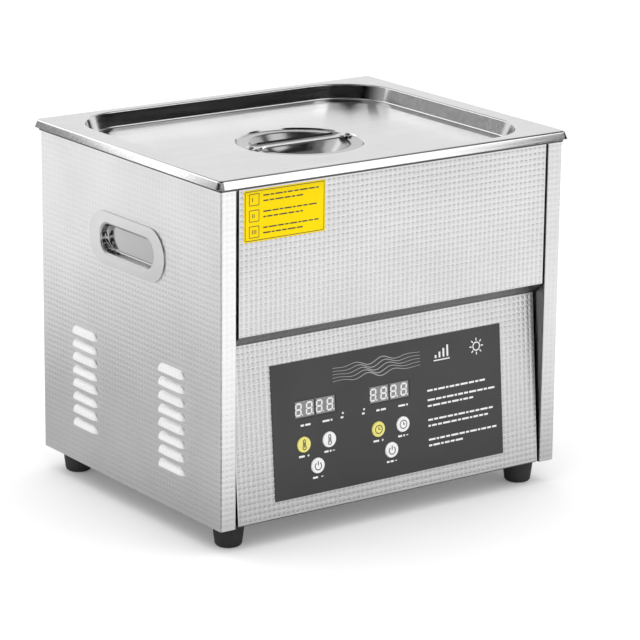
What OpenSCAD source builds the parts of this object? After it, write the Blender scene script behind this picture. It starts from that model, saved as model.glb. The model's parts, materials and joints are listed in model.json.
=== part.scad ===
// Bench-top ultrasonic cleaner with a lift-off lid, a folded sheet-steel casing and a sloped control face.
// Millimetres, +Z up, front towards -Y. The origin is on the bench, midway between the four feet.

/* [Casing] */
// Width of the casing
body_w = 316; // [290:1:380]
// Depth of the casing
body_d = 256; // [240:1:320]
// Height from the bench to the top of the lid
total_h = 285; // [270:1:330]
// Thickness of the casing's sheet
sheet = 1; // [0.8:0.1:1.2]
// Radius of the casing's folds, at the outside
fold_r = 1.8; // [1.4:0.1:2.4]
// Width of the strip that each side shows on the front
strip_w = 14; // [11:0.5:17]
// Depth of the wall that each side folds back beside the control face
pocket_wall = 15; // [12:0.5:16]
// Width of the rear fold that the back panel is screwed to
rear_fold = 13; // [11:0.5:15]
// Width of the bottom folds that carry the base plate
base_fold = 11; // [9:0.5:12]
// Gap between the front panel and the strips beside it
front_gap = 2; // [1:0.5:3]
// How far the front panel lies behind the strips
front_inset = 0.5; // [0:0.1:1]
// Gap between the back panel's edge and the outside of the casing
back_margin = 2; // [1.5:0.5:4]

/* [Control face] */
// Height of the fold above the control face, from the bottom of the casing
pocket_top = 146; // [138:1:160]
// Height of the inner edge of the control face, from the bottom of the casing
pocket_edge = 137; // [130:1:137]
// How far the control face is set back at its inner edge
pocket_depth = 11.5; // [8:0.5:12.5]
// Width of the overlay
overlay_w = 216; // [214:1:240]
// Height of the overlay
overlay_h = 104; // [100:1:110]
// Thickness of the overlay
overlay_t = 0.5; // [0.3:0.1:0.8]
// Height of the overlay's middle above the bottom of the casing, along the face
overlay_mid = 65.5; // [60:0.5:70]
// Diameter of the keys
key_d = 12; // [10:0.5:13]
// How far the keys stand out of the overlay
key_out = 0.9; // [0.6:0.1:1.5]
// Gap around each key
key_gap = 0.3; // [0.2:0.05:0.5]
// Travel of the keys
key_travel = 0.6; // [0.4:0.1:0.8]
// Spacing of the two upper keys of a group
key_pitch = 23.3; // [20:0.1:25]
// Width of one two-digit display
display_w = 19; // [17:0.1:20]
// Height of a display
display_h = 14; // [12:0.1:15]
// Distance between the middles of the two display groups
group_pitch = 69; // [64:1:72]

/* [Louvres] */
// Length of a louvre
louvre_len = 37; // [30:1:42]
// Height of a louvre
louvre_h = 6; // [5:0.5:7]
// How far a louvre stands out of the side
louvre_out = 3; // [2:0.1:3.5]
// Thickness of a louvre's hood
louvre_t = 0.8; // [0.6:0.1:1]
// Louvres in a column
louvre_rows = 8; // [4:1:8]
// Spacing of the louvres in a column
louvre_pitch = 10.7; // [9:0.1:11]
// Height of the lowest louvre's edge above the bottom of the casing
louvre_low = 30.6; // [25:0.1:35]
// Spacing of the two columns
louvre_columns = 124; // [100:1:126]

/* [Carrying handles] */
// Length of the opening in a handle
grip_w = 75; // [60:1:80]
// Height of the opening in a handle
grip_h = 22; // [18:1:26]
// Depth of the recess
grip_depth = 7; // [5:0.5:7.5]
// Width of the bezel round the opening, at its ends
bezel_end = 15.5; // [12:0.5:20]
// Width of the bezel round the opening, above and below
bezel_side = 10; // [8:0.5:14]
// Distance from the top of the lid down to the handle's middle
grip_drop = 75; // [65:1:90]
// Thickness of the handle's sheet
grip_sheet = 1; // [0.8:0.1:1.2]

/* [Tank] */
// Distance from the outside of the casing to the inside of the tank, left and right
jacket_w = 11; // [10.4:0.1:16]
// Distance from the outside of the casing to the inside of the tank, front and back
jacket_d = 16; // [15:0.1:24]
// Inside depth of the tank
tank_depth = 150; // [130:1:155]
// Thickness of the tank's sheet
tank_wall = 1; // [0.8:0.1:1.2]
// Inside radius of the tank's upright corners
tank_corner = 30; // [27:1:36]
// Inside radius round the tank's bottom
tank_foot_r = 12; // [9:0.5:13]
// Height of the lip that the tank's flange turns down over the casing
lip_h = 7.5; // [6.5:0.5:9]

/* [Lid] */
// How far the lid's skirt reaches out past the casing
lid_over = 4.5; // [4:0.25:8]
// Thickness of the lid's sheet
lid_sheet = 1; // [0.8:0.1:1.2]
// Height of the lid's skirt
skirt_h = 6; // [4:0.5:6.5]
// How far the skirt flares out
skirt_flare = 2.8; // [1:0.1:3]
// Radius of the lid's corners
lid_corner = 6; // [4:0.5:9]
// Depth of the sunk pan
pan_depth = 12.5; // [11:0.5:18]
// Gap between the pan's edge and the tank's wall, left and right
pan_play_w = 4; // [2:0.1:8]
// Gap between the pan's edge and the tank's wall, front and back
pan_play_d = 1.6; // [1.4:0.1:8]
// Radius of the pan's corners
pan_corner = 48; // [42:1:54]
// Height of the pan's steep wall, above its sloped foot
pan_wall = 10; // [7:0.1:10]
// Width of the pan's sloped foot
pan_foot = 6; // [5:0.5:10]
// Diameter of the handle cup's opening
cup_d = 80; // [70:1:88]
// Width of the handle cup's ring
cup_ring = 9; // [8:0.5:12]
// Depth of the handle cup
cup_depth = 19; // [14:0.5:24]
// Width of the handle strap
strap_w = 13; // [10:0.5:16]
// Height of the strap's raised edges
strap_edge = 1.6; // [1:0.1:2.5]

/* [Feet] */
// Height of the bottom of the casing above the bench
foot_h = 19; // [15:0.5:24]
// Diameter of a foot at its top
foot_top_d = 25; // [22:0.5:28]
// Diameter of a foot on the bench
foot_base_d = 21; // [18:0.5:24]
// Distance from the casing's sides to the feet's middles, left and right
foot_inset_w = 20; // [18:0.5:40]
// Distance from the casing's front and back to the feet's middles
foot_inset_d = 20; // [18:0.5:40]

/* [Transducers] */
// Diameter of the front mass on the tank
front_mass_d = 59; // [50:1:60]
// Diameter of the piezo rings and the back mass
stack_d = 45; // [38:1:46]
// Height of the front mass
front_mass_h = 25; // [20:1:27]
// Thickness of one piezo ring
piezo_t = 5; // [4:0.5:6]
// Height of the back mass
back_mass_h = 22; // [18:1:24]
// Diameter of the stack's bolt
stack_bolt_d = 10; // [8:0.5:10]

/* [Cooling fan] */
// Side of the fan's frame
fan_size = 80; // [70:1:84]
// Depth of the fan's frame
fan_depth = 25; // [22:1:28]
// Distance of the fan's middle from the middle of the back
fan_x = -70; // [-80:1:-62]
// Height of the fan's middle above the bottom of the casing
fan_up = 56; // [50:1:60]
// Diameter of the fan's axle
fan_axle_d = 3; // [2.5:0.1:4]

/* [Mains inlet and switch] */
// Distance of the inlet's middle from the middle of the back
inlet_x = 55; // [45:1:60]
// Height of the inlet and the switch above the bottom of the casing
inlet_up = 40; // [34:1:50]
// Distance from the inlet's middle to the switch's middle
switch_step = 45; // [40:1:50]
// Angle that the rocker turns through
rocker_turn = 20; // [16:1:22]

/* [Drain] */
// Distance from the tank's right wall to the drain's middle
drain_inset_w = 32; // [28:1:40]
// Distance from the tank's rear wall to the drain's middle
drain_inset_d = 22.5; // [22:0.5:30]
// Distance from the tank's floor down to the valve's middle
drain_drop = 26; // [25:1:30]
// Bore of the drain
drain_bore = 9; // [8:0.5:9.5]
// Diameter of the drain's tube and hose spigot
spigot_d = 12; // [11:0.5:12.5]
// Length of the hose spigot
spigot_len = 20; // [16:1:26]
// Length of the valve's lever
lever_len = 52; // [40:1:60]

/* [Hidden] */
$fn = 64;
// Steps of a fold's arc, and of a drawn pan's corner
fold_steps = 4;
corner_steps = 6;
// Clearances: a screw or tube in its hole, a shaft that turns, and pieces that only pass each other
hole_gap = 0.15;
running_gap = 0.05;
clear = 0.3;

half_w = body_w / 2;
half_d = body_d / 2;
lid_w = body_w + 2 * lid_over;
lid_d = body_d + 2 * lid_over;
lid_gap = 0.1;
lip_gap = 0.1;
brim_z = total_h - lid_sheet;
flange_z = brim_z - lid_gap;
casing_top = flange_z - tank_wall;
casing_h = casing_top - foot_h;
plate_z = foot_h + sheet;

tank_w = body_w - 2 * jacket_w;
tank_d = body_d - 2 * jacket_d;
tank_z = flange_z - tank_depth;
under_z = tank_z - tank_wall;
lip_corner = fold_r + lip_gap + tank_wall;
lip_fold_r = tank_wall + lip_gap / 2;
mouth_r = 3;

front_y = -half_d + front_inset;
front_w = body_w - 2 * (strip_w + front_gap);
edge_y = front_y + pocket_depth;
tilt = atan(pocket_depth / pocket_edge);
panel_y = front_y + overlay_mid * tan(tilt);
panel_z = foot_h + overlay_mid;
back_y = half_d - sheet;

// On the control face: x to the right, y up the face, from the overlay's middle
groups_x = [-group_pitch, 0];
key_low_y = -30.5;
key_row_y = -12.3;
display_y = 14.8;
key_low_x = 0.2;
keys = [
    ["temp_up", groups_x[0] - key_pitch / 2, key_row_y, "gold"],
    ["temp_down", groups_x[0] + key_pitch / 2, key_row_y, "white"],
    ["heat_power", groups_x[0] + key_low_x, key_low_y, "white"],
    ["time_up", groups_x[1] - key_pitch / 2, key_row_y, "gold"],
    ["time_down", groups_x[1] + key_pitch / 2, key_row_y, "white"],
    ["clean_power", groups_x[1] + key_low_x, key_low_y, "white"]
];
displays = [
    ["set_temp", groups_x[0] - display_w / 2],
    ["actual_temp", groups_x[0] + display_w / 2],
    ["minutes", groups_x[1] - display_w / 2],
    ["seconds", groups_x[1] + display_w / 2]
];
// Depths behind the outside of the control face
key_flange_t = 1;
key_flange_w = 1.2;
switch_gap = 0.4;
switch_side = 6;
switch_h = 3.2;
plunger_r = 1.75;
key_back = sheet + clear + key_flange_t;
switch_top = key_back + key_travel + switch_gap;
board_front = switch_top + switch_h;
board_t = 1.6;
board_edge = 9;

// Steps along Y of the base and back screws, and the heights of the back screws
base_screw_step = 80;
back_screw_rows = 4;
screw_r = 1.5;
screw_head_r = 3;
screw_head_h = 2;
panel_screw_len = 6;
foot_screw_r = 2;

stack_gap = 0.3;
stack_xy = [tank_w / 4, tank_d / 4];
electrode_t = 0.3;
piezo_z = under_z - front_mass_h;
back_mass_z = piezo_z - 3 * electrode_t - 2 * piezo_t;

fan_z = foot_h + fan_up;
fan_hole = fan_size * 0.894 / 2;
fan_duct_r = fan_size / 2 - 2;
duct_gap = 1.5;
inlet_z = foot_h + inlet_up;
switch_x = inlet_x + switch_step;

drain_x = tank_w / 2 - drain_inset_w;
drain_y = tank_d / 2 - drain_inset_d;
drain_z = tank_z - drain_drop;
drain_r = spigot_d / 2;
nut_r = drain_r + 4;
nut_h = 5;
valve_x = half_w + nut_h + 2;
ball_r = drain_bore / 2 + 3;
valve_r = ball_r + 3.5;
valve_len = 30;
stem_r = 3;
stem_x = valve_x + valve_len / 2;

// Bent and drawn sheet

function reversed(list) = [for (i = [len(list) - 1:-1:0]) list[i]];
function unit(v) = v / norm(v);
function turned(v, a) = [v.x * cos(a) - v.y * sin(a), v.x * sin(a) + v.y * cos(a)];
function left_of(a, b) = turned(unit(b - a), 90);
function fold_angle(a, b, c) = let (d = b - a, e = c - b) atan2(d.x * e.y - d.y * e.x, d * e);

// One face of a bent sheet: the path p moved s to its left, with an arc of radius r[i] at each inner
// corner. Each point also carries the number of its corner.
function bent_face(p, r, s) = let (last = len(p) - 1) [
    [each p[0] + s * left_of(p[0], p[1]), 0],
    for (i = [1:last - 1])
        let (w = fold_angle(p[i - 1], p[i], p[i + 1]), n = left_of(p[i - 1], p[i]))
        let (c = p[i] - r[i] * tan(abs(w) / 2) * turned(n, -90) + r[i] * sign(w) * n)
        for (k = [0:fold_steps]) [each c + (s - r[i] * sign(w)) * turned(n, w * k / fold_steps), i],
    [each p[last] + s * left_of(p[last - 1], p[last]), last]
];

// Section of a sheet of thickness t whose outer face follows the path, with the sheet to its right
module bent_sheet(p, r, t) {
    outline = concat(bent_face(p, r, 0), reversed(bent_face(p, r, -t)));
    polygon([for (q = outline) [q.x, q.y]]);
}

// A rounded rectangle of half-sizes hx and hy at height z, as a ring of points
function ring(hx, hy, r, z) = [
    for (q = [0:3], k = [0:corner_steps])
        let (a = 90 * (q + k / corner_steps), e = [q % 3 == 0 ? 1 : -1, q < 2 ? 1 : -1])
        [e.x * (hx - r) + r * cos(a), e.y * (hy - r) + r * sin(a), z]
];

// A pan drawn from one sheet: its section follows px across the width and py across the depth, from
// the floor out to the rim, and corner gives the plan radius at each corner of the path.
module drawn_pan(px, py, r, corner, t) {
    fx = concat(bent_face(px, r, -t), reversed(bent_face(px, r, 0)));
    fy = concat(bent_face(py, r, -t), reversed(bent_face(py, r, 0)));
    rings = [
        for (i = [0:len(fx) - 1])
            let (hx = fx[i].x, hy = fy[i].x, c = corner[fx[i].z] + hx - px[fx[i].z].x)
            ring(hx, hy, max(0.3, min(c, hx - 0.05, hy - 0.05)), fx[i].y)
    ];
    n = len(rings[0]);
    end = (len(rings) - 1) * n;
    polyhedron(
        points = [for (g = rings) each g],
        faces = concat(
            [[for (j = [0:n - 1]) j]],
            [for (i = [0:len(rings) - 2], j = [0:n - 1], half = [0, 1])
                let (a = i * n + j, b = i * n + (j + 1) % n)
                half == 0 ? [a, a + n, b + n] : [a, b + n, b]],
            [[for (j = [n - 1:-1:0]) end + j]]
        )
    );
}

module four_corners(x, y) {
    for (sx = [-1, 1], sy = [-1, 1]) translate([sx * x, sy * y, 0]) children();
}

// A box centred on x and y that stands on z = 0
module block(x, y, z) translate([-x / 2, -y / 2, 0]) cube([x, y, z]);

// A tube or a rod along +X from x0 to x1
module rod_x(r, x0, x1) translate([x0, 0, 0]) rotate([0, 90, 0]) cylinder(r = r, h = x1 - x0);

// Frames: the control face (z out of the face), and the outside of the back panel (z out of the back)
module on_control_face() translate([0, panel_y, panel_z]) rotate([90 - tilt, 0, 0]) children();
module on_back(x, z) translate([x, half_d, z]) rotate([90, 0, 180]) children();

// Lid

pan_x = tank_w / 2 - pan_play_w;
pan_y = tank_d / 2 - pan_play_d;
pan_z = total_h - pan_depth;
pan_draft = 20;
pan_run = pan_wall * tan(pan_draft);
pan_margin = 10;
cup_r = cup_d / 2;
cup_hole_r = cup_r + 2;
ring_r = cup_r + cup_ring;
ring_z = pan_z + lid_sheet;
rivet_r = 1.5;
rivet_x = (cup_hole_r + ring_r) / 2;
strap_t = 1.2;

// The lid's section from the pan's floor to the skirt, for a half-size of pan and lid
function lid_path(pan, lid) = [
    [pan - pan_run - pan_foot - pan_margin, pan_z],
    [pan - pan_run - pan_foot, pan_z],
    [pan - pan_run, total_h - pan_wall],
    [pan, total_h],
    [lid - skirt_flare, total_h],
    [lid, total_h - skirt_h]
];

module lid_cover() {
    px = lid_path(pan_x, lid_w / 2);
    folds = [0, 6, 3, 2, 2.4, 0];
    corner = [for (i = [0:5]) i < 4 ? pan_corner + px[i].x - pan_x : lid_corner + px[i].x - lid_w / 2];
    color("gainsboro") difference() {
        drawn_pan(px, lid_path(pan_y, lid_d / 2), folds, corner, lid_sheet);
        translate([0, 0, pan_z - 2 * lid_sheet]) cylinder(r = cup_hole_r, h = 4 * lid_sheet);
        rivet_holes();
    }
}

module rivet_holes() {
    for (sx = [-1, 1]) translate([sx * rivet_x, 0, pan_z - 4]) cylinder(r = rivet_r + hole_gap, h = 12);
}

module lid_handle_cup() {
    path = [[0, ring_z - cup_depth], [cup_r - 12, ring_z - cup_depth], [cup_r, ring_z], [ring_r, ring_z]];
    color("silver") difference() {
        rotate_extrude() bent_sheet(path, [0, 14, 2.2, 0], lid_sheet);
        rivet_holes();
    }
}

module lid_handle_strap() {
    half = strap_w / 2;
    lift = strap_edge + strap_t;
    section = [[-half, lift], [-half + 1.8, strap_t], [half - 1.8, strap_t], [half, lift]];
    color("whitesmoke") difference() {
        translate([-ring_r, 0, ring_z]) rotate([90, 0, 90]) linear_extrude(2 * ring_r)
            bent_sheet(section, [0, 1.4, 1.4, 0], strap_t);
        rivet_holes();
    }
}

module lid_handle_rivets() {
    color("silver") for (sx = [-1, 1]) translate([sx * rivet_x, 0, 0]) {
        translate([0, 0, ring_z + strap_t]) intersection() {
            translate([0, 0, -rivet_r]) sphere(r = 2.2 * rivet_r);
            cylinder(r = 3 * rivet_r, h = 3 * rivet_r);
        }
        translate([0, 0, pan_z - lid_sheet]) cylinder(r = rivet_r, h = 2 * lid_sheet + strap_t + 0.5);
        translate([0, 0, pan_z - 2 * lid_sheet]) cylinder(r = 1.6 * rivet_r, h = lid_sheet);
    }
}

// Tank

function tank_path(tank, casing) = [
    [tank - 2 * tank_foot_r, tank_z],
    [tank, tank_z],
    [tank, flange_z],
    [casing + lip_gap + tank_wall, flange_z],
    [casing + lip_gap + tank_wall, flange_z - lip_h]
];

module tank() {
    px = tank_path(tank_w / 2, half_w);
    folds = [0, tank_foot_r, mouth_r, lip_fold_r, 0];
    corner = [for (i = [0:4]) i < 3 ? tank_corner + px[i].x - tank_w / 2 : lip_corner];
    color("silver") difference() {
        drawn_pan(px, tank_path(tank_d / 2, half_d), folds, corner, tank_wall);
        translate([drain_x, drain_y, under_z - 2]) cylinder(r = drain_r + hole_gap, h = 6);
    }
}

// Casing

// Plan of the right side: rear fold, side, front strip and the wall beside the control face
module side_plan() {
    path = [
        [half_w - rear_fold, back_y],
        [half_w, back_y],
        [half_w, -half_d],
        [half_w - strip_w, -half_d],
        [half_w - strip_w, -half_d + pocket_wall]
    ];
    bent_sheet(path, [0, fold_r, fold_r, fold_r, 0], sheet);
}

// A louvre's form: a long dome cut flat along its lower edge, for a hood of outside or inside radius r
louvre_r = (louvre_h * louvre_h + louvre_out * louvre_out) / (2 * louvre_out);
module louvre_form(r, x0) {
    straight = louvre_len / 2 - louvre_h;
    intersection() {
        translate([half_w + louvre_out - louvre_r, 0, 0]) {
            rotate([90, 0, 0]) cylinder(r = r, h = 2 * straight, center = true);
            for (sy = [-1, 1]) translate([0, sy * straight, 0]) sphere(r = r);
        }
        translate([x0, -louvre_len, 0]) cube([4 * louvre_r, 2 * louvre_len, 2 * louvre_r]);
    }
}

module louvre_places() {
    for (sy = [-1, 1], i = [0:louvre_rows - 1])
        translate([0, sy * louvre_columns / 2, foot_h + louvre_low + i * louvre_pitch]) children();
}

grip_z = total_h - grip_drop;
grip_fold_r = 2.2;
module grip_hole() {
    w = grip_w + 2 * (grip_fold_r + grip_sheet);
    h = grip_h + 2 * (grip_fold_r + grip_sheet);
    translate([0, 0, grip_z]) rotate([90, 0, 90]) {
        linear_extrude(2 * body_w) {
            square([w - h, h], center = true);
            for (sx = [-1, 1]) translate([sx * (w - h) / 2, 0]) circle(d = h);
        }
    }
}

module base_screw_places() {
    for (sx = [-1, 1], i = [-1:1])
        translate([sx * (half_w - sheet - base_fold / 2), i * base_screw_step, 0]) children();
}

module back_screw_places() {
    rise = (casing_h - 50) / (back_screw_rows - 1);
    for (sx = [-1, 1], i = [0:back_screw_rows - 1])
        translate([sx * (half_w - rear_fold / 2), half_d, foot_h + 22 + i * rise]) children();
}

module screw_holes_base() {
    base_screw_places() translate([0, 0, foot_h - 1]) cylinder(r = screw_r + hole_gap, h = 4 * sheet);
}

module screw_holes_back() {
    back_screw_places() rotate([90, 0, 0]) cylinder(r = screw_r + hole_gap, h = 10 * sheet, center = true);
}

module right_side() {
    flange_d = body_d - 2 * pocket_wall - 6;
    difference() {
        union() {
            translate([0, 0, foot_h]) linear_extrude(casing_h) side_plan();
            translate([half_w - sheet - base_fold, -flange_d / 2, foot_h])
                cube([base_fold + sheet / 2, flange_d, sheet]);
            louvre_places() louvre_form(louvre_r, half_w - sheet / 2);
        }
        louvre_places() louvre_form(louvre_r - louvre_t, half_w - 3 * sheet);
        grip_hole();
        screw_holes_base();
        screw_holes_back();
    }
}

module side_panel_left() color("lightgray") mirror([1, 0, 0]) right_side();

module side_panel_right() {
    color("lightgray") difference() {
        right_side();
        translate([0, drain_y, drain_z]) rod_x(drain_r + hole_gap, half_w - 5, half_w + 5);
    }
}

front_fold = 10;
bottom_fold = 8;
module front_panel() {
    path = [
        [front_y + bottom_fold, foot_h],
        [front_y, foot_h],
        [edge_y, foot_h + pocket_edge],
        [front_y, foot_h + pocket_top],
        [front_y, casing_top],
        [front_y + front_fold, casing_top]
    ];
    color("lightgray") difference() {
        translate([-front_w / 2, 0, 0]) rotate([90, 0, 90]) linear_extrude(front_w)
            bent_sheet(path, [0, fold_r, fold_r, fold_r, fold_r, 0], sheet);
        on_control_face() panel_cuts();
    }
}

module back_panel() {
    w = body_w - 2 * back_margin;
    cut = 10 * sheet;
    color("lightgray") difference() {
        translate([-w / 2, back_y, foot_h]) cube([w, sheet, casing_h]);
        on_back(fan_x, fan_z) translate([0, 0, -cut / 2]) {
            cylinder(r = fan_hole, h = cut);
            fan_screw_places() cylinder(r = fan_screw_r + hole_gap, h = cut);
        }
        on_back(inlet_x, inlet_z) translate([0, 0, -cut / 2])
            block(inlet_w + clear, inlet_h + clear, cut);
        on_back(switch_x, inlet_z) translate([0, 0, -cut / 2])
            block(switch_w + clear, switch_l + clear, cut);
        screw_holes_back();
    }
}

// The base plate lies on the bottom folds, clear of the front strips and the rear folds, and turns up
// behind the back panel
module base_plate() {
    side = half_w - sheet - hole_gap;
    front_half = front_w / 2;
    rear_half = half_w - rear_fold - 2;
    front_edge = front_y + fold_r + sheet;
    notch_y = -half_d + pocket_wall + 1;
    rear_y = back_y - sheet;
    turn_up = 12;
    half_plan = [
        [0, front_edge], [front_half, front_edge], [front_half, notch_y], [side, notch_y],
        [side, rear_y - 1], [rear_half, rear_y - 1], [rear_half, back_y], [0, back_y]
    ];
    color("lightgray") difference() {
        union() {
            for (m = [0, 1]) mirror([m, 0, 0]) translate([0, 0, plate_z]) linear_extrude(sheet)
                polygon(half_plan);
            translate([-rear_half, rear_y, plate_z]) cube([2 * rear_half, sheet, turn_up]);
        }
        screw_holes_base();
        foot_places() translate([0, 0, plate_z - 1]) cylinder(r = foot_screw_r + hole_gap, h = 4 * sheet);
    }
}

module handle_recess() {
    function path(open, bezel) = [
        [open - 8, -grip_depth],
        [open, -grip_depth],
        [open, 0],
        [open + bezel, 0]
    ];
    px = path(grip_w / 2, bezel_end);
    py = path(grip_h / 2, bezel_side);
    corner = [for (i = [0:3]) i < 3 ? grip_h / 2 + px[i].x - grip_w / 2 : grip_h / 2 + bezel_side];
    drawn_pan(px, py, [0, 3, grip_fold_r, 0], corner, grip_sheet);
}

module handle_recess_left() {
    color("silver") translate([-half_w - grip_sheet, 0, grip_z]) rotate([90, 0, -90]) handle_recess();
}

module handle_recess_right() {
    color("silver") translate([half_w + grip_sheet, 0, grip_z]) rotate([90, 0, 90]) handle_recess();
}

// Feet and fasteners

module foot_places() four_corners(half_w - foot_inset_w, half_d - foot_inset_d) children();

module foot(sx, sy) {
    well_r = 4.8;
    well_h = 9;
    boss_r = 7;
    edge = 3;
    low = foot_base_d / 2;
    round = [for (a = [-90:22.5:0]) [low - edge + edge * cos(a), edge + edge * sin(a)]];
    color("dimgray") translate([sx * (half_w - foot_inset_w), sy * (half_d - foot_inset_d), 0])
        rotate_extrude() polygon(concat([[well_r, 0]], round, [
            [foot_top_d / 2, foot_h], [boss_r, foot_h], [boss_r, plate_z],
            [foot_screw_r + hole_gap, plate_z], [foot_screw_r + hole_gap, well_h], [well_r, well_h]
        ]));
}

module foot_screws() {
    color("silver") foot_places() {
        translate([0, 0, 5.6]) cylinder(r = 4, h = 3.4);
        translate([0, 0, 8]) cylinder(r = foot_screw_r, h = plate_z + sheet + 4 - 8);
    }
}

// A pan-head screw: its head stands on z = 0 and its shank goes down
module pan_screw(len) {
    rotate_extrude() polygon([
        [0, screw_head_h], [screw_head_r - 1.2, screw_head_h], [screw_head_r, screw_head_h * 0.45],
        [screw_head_r, 0], [screw_r, 0], [screw_r, -len], [0, -len]
    ]);
}

module base_screws() {
    color("silver") base_screw_places() translate([0, 0, foot_h]) rotate([180, 0, 0])
        pan_screw(panel_screw_len);
}

module back_panel_screws() {
    color("silver") back_screw_places() rotate([-90, 0, 0]) pan_screw(panel_screw_len);
}

// Control face

module key_holes(depth) {
    for (k = keys) translate([k[1], k[2], -depth]) cylinder(d = key_d + 2 * key_gap, h = 2 * depth);
}

module display_windows(depth) {
    for (x = groups_x) translate([x, display_y, -depth])
        block(2 * display_w + clear, display_h + clear, 2 * depth);
}

module panel_cuts() {
    key_holes(5);
    display_windows(5);
    stud_places() translate([0, 0, -5]) cylinder(r = stud_r + hole_gap, h = 10);
}

module panel_overlay() {
    color("dimgray") on_control_face() difference() {
        block(overlay_w, overlay_h, overlay_t);
        key_holes(5);
        display_windows(5);
    }
}

module display(x) {
    recess = 0.2;
    color("gray") on_control_face() translate([x, display_y, -board_front])
        block(display_w - 0.1, display_h, board_front + overlay_t - recess);
}

// A key: domed cap, a flange behind the panel and a plunger in its switch
module key(k) {
    top = overlay_t + key_out;
    r = key_d / 2;
    edge = 0.6;
    plunger_end = switch_top + switch_h - key_travel - 0.4;
    round = [for (a = [0:30:90]) [r - edge + edge * cos(a), top - edge + edge * sin(a)]];
    color(k[3]) on_control_face() translate([k[1], k[2], 0]) rotate_extrude() polygon(concat(
        [[0, -plunger_end], [plunger_r, -plunger_end], [plunger_r, -key_back],
            [r + key_flange_w, -key_back], [r + key_flange_w, -sheet - clear], [r, -sheet - clear]],
        round, [[0, top]]
    ));
}

board_x = [keys[0][1] - key_d / 2 - board_edge, keys[4][1] + key_d / 2 + board_edge];
board_y = [key_low_y - key_d / 2 - board_edge, display_y + display_h / 2 + board_edge];
stud_r = 1.5;
module stud_places() {
    for (x = board_x, y = board_y)
        translate([x - sign(x - board_x[0] - 1) * 4, y - sign(y - board_y[0] - 1) * 4, 0]) children();
}

module control_board() {
    color("darkgreen") on_control_face() difference() {
        translate([board_x[0], board_y[0], -board_front - board_t])
            cube([board_x[1] - board_x[0], board_y[1] - board_y[0], board_t]);
        stud_places() translate([0, 0, -board_front - 5]) cylinder(r = stud_r + hole_gap, h = 10);
    }
}

module board_studs() {
    color("silver") on_control_face() stud_places() {
        translate([0, 0, -board_front]) cylinder(r = 3, h = board_front - sheet);
        translate([0, 0, -board_front - board_t - 3]) cylinder(r = stud_r, h = board_front + board_t + 3);
    }
}

module key_switches() {
    color("black") on_control_face() for (k = keys) translate([k[1], k[2], -board_front]) difference() {
        block(switch_side, switch_side, switch_h);
        translate([0, 0, -1]) cylinder(r = plunger_r + running_gap, h = switch_h + 2);
    }
}

// Transducers, heater and sensor under and on the tank

module stacks() four_corners(stack_xy.x, stack_xy.y) children();

module transducer_front_masses() {
    bore = stack_bolt_d / 2 + hole_gap;
    r = front_mass_d / 2;
    n = stack_d / 2;
    color("silver") stacks() translate([0, 0, under_z]) rotate_extrude() polygon([
        [0, 0], [r, 0], [r, -front_mass_h * 0.25], [n, -front_mass_h * 0.85], [n, -front_mass_h],
        [bore, -front_mass_h], [bore, -front_mass_h * 0.3], [0, -front_mass_h * 0.3]
    ]);
}

module washer(r, hole, t) {
    difference() {
        cylinder(r = r, h = t);
        translate([0, 0, -1]) cylinder(r = hole, h = t + 2);
    }
}

module piezo_rings() {
    color("darkslategray") stacks() for (i = [1, 2])
        translate([0, 0, piezo_z - i * (electrode_t + piezo_t)])
            washer(stack_d / 2, stack_d * 0.17, piezo_t);
}

module electrode_plates() {
    tab = 7;
    color("goldenrod") stacks() for (i = [0:2])
        translate([0, 0, piezo_z - electrode_t - i * (electrode_t + piezo_t)]) {
            washer(stack_d / 2, stack_d * 0.17, electrode_t);
            translate([stack_d / 2 - 1, -2, 0]) cube([tab, 4, electrode_t]);
        }
}

module transducer_back_masses() {
    color("dimgray") stacks() translate([0, 0, back_mass_z - back_mass_h])
        washer(stack_d / 2, stack_bolt_d / 2 + hole_gap, back_mass_h);
}

module transducer_bolts() {
    r = stack_bolt_d / 2;
    color("gray") stacks() translate([0, 0, back_mass_z - back_mass_h]) {
        difference() {
            translate([0, 0, -8]) cylinder(r = 1.6 * r, h = 8);
            translate([0, 0, -9]) cylinder(r = 0.9 * r, h = 6, $fn = 6);
        }
        translate([0, 0, -1])
            cylinder(r = r, h = 1 + back_mass_h + 3 * electrode_t + 2 * piezo_t + front_mass_h * 0.6);
    }
}

module heater_pads() {
    pad_w = tank_w * 0.6;
    pad_h = tank_depth * 0.37;
    pad_z = tank_z + tank_depth * 0.27;
    pad_t = 2 * tank_wall;
    color("orangered") for (sy = [-1, 1])
        translate([-pad_w / 2, sy * (tank_d / 2 + tank_wall + pad_t / 2) - pad_t / 2, pad_z])
            cube([pad_w, pad_t, pad_h]);
}

module temperature_sensor() {
    color("silver") translate([0, 0, under_z]) rotate([180, 0, 0]) {
        cylinder(r = 8, h = 3);
        translate([0, 0, 3]) cylinder(r = 5, h = 5);
        for (sx = [-1, 1]) translate([sx * 2.5, 0, 8]) block(3, 0.8, 5);
    }
}

// Generator on the base plate, between the two rows of transducers

gen_w = 80;
gen_d = 130;
gen_up = 8;
gen_z = plate_z + sheet + gen_up;
gen_top = gen_z + board_t;
sink_x = -20;
sink_w = 26;
sink_d = 90;
sink_h = 36;
sink_wall = 5;

module gen_corners() four_corners(gen_w / 2 - 5, gen_d / 2 - 5) children();

module generator_board() {
    color("darkgreen") difference() {
        translate([0, 0, gen_z]) block(gen_w, gen_d, board_t);
        gen_corners() translate([0, 0, gen_z - 1]) cylinder(r = 1.5 + hole_gap, h = 4);
    }
}

module board_pillars() {
    color("ivory") gen_corners() {
        translate([0, 0, plate_z + sheet]) cylinder(r = 3, h = gen_up);
        translate([0, 0, gen_z - 1]) cylinder(r = 1.5, h = board_t + 3);
    }
}

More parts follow.
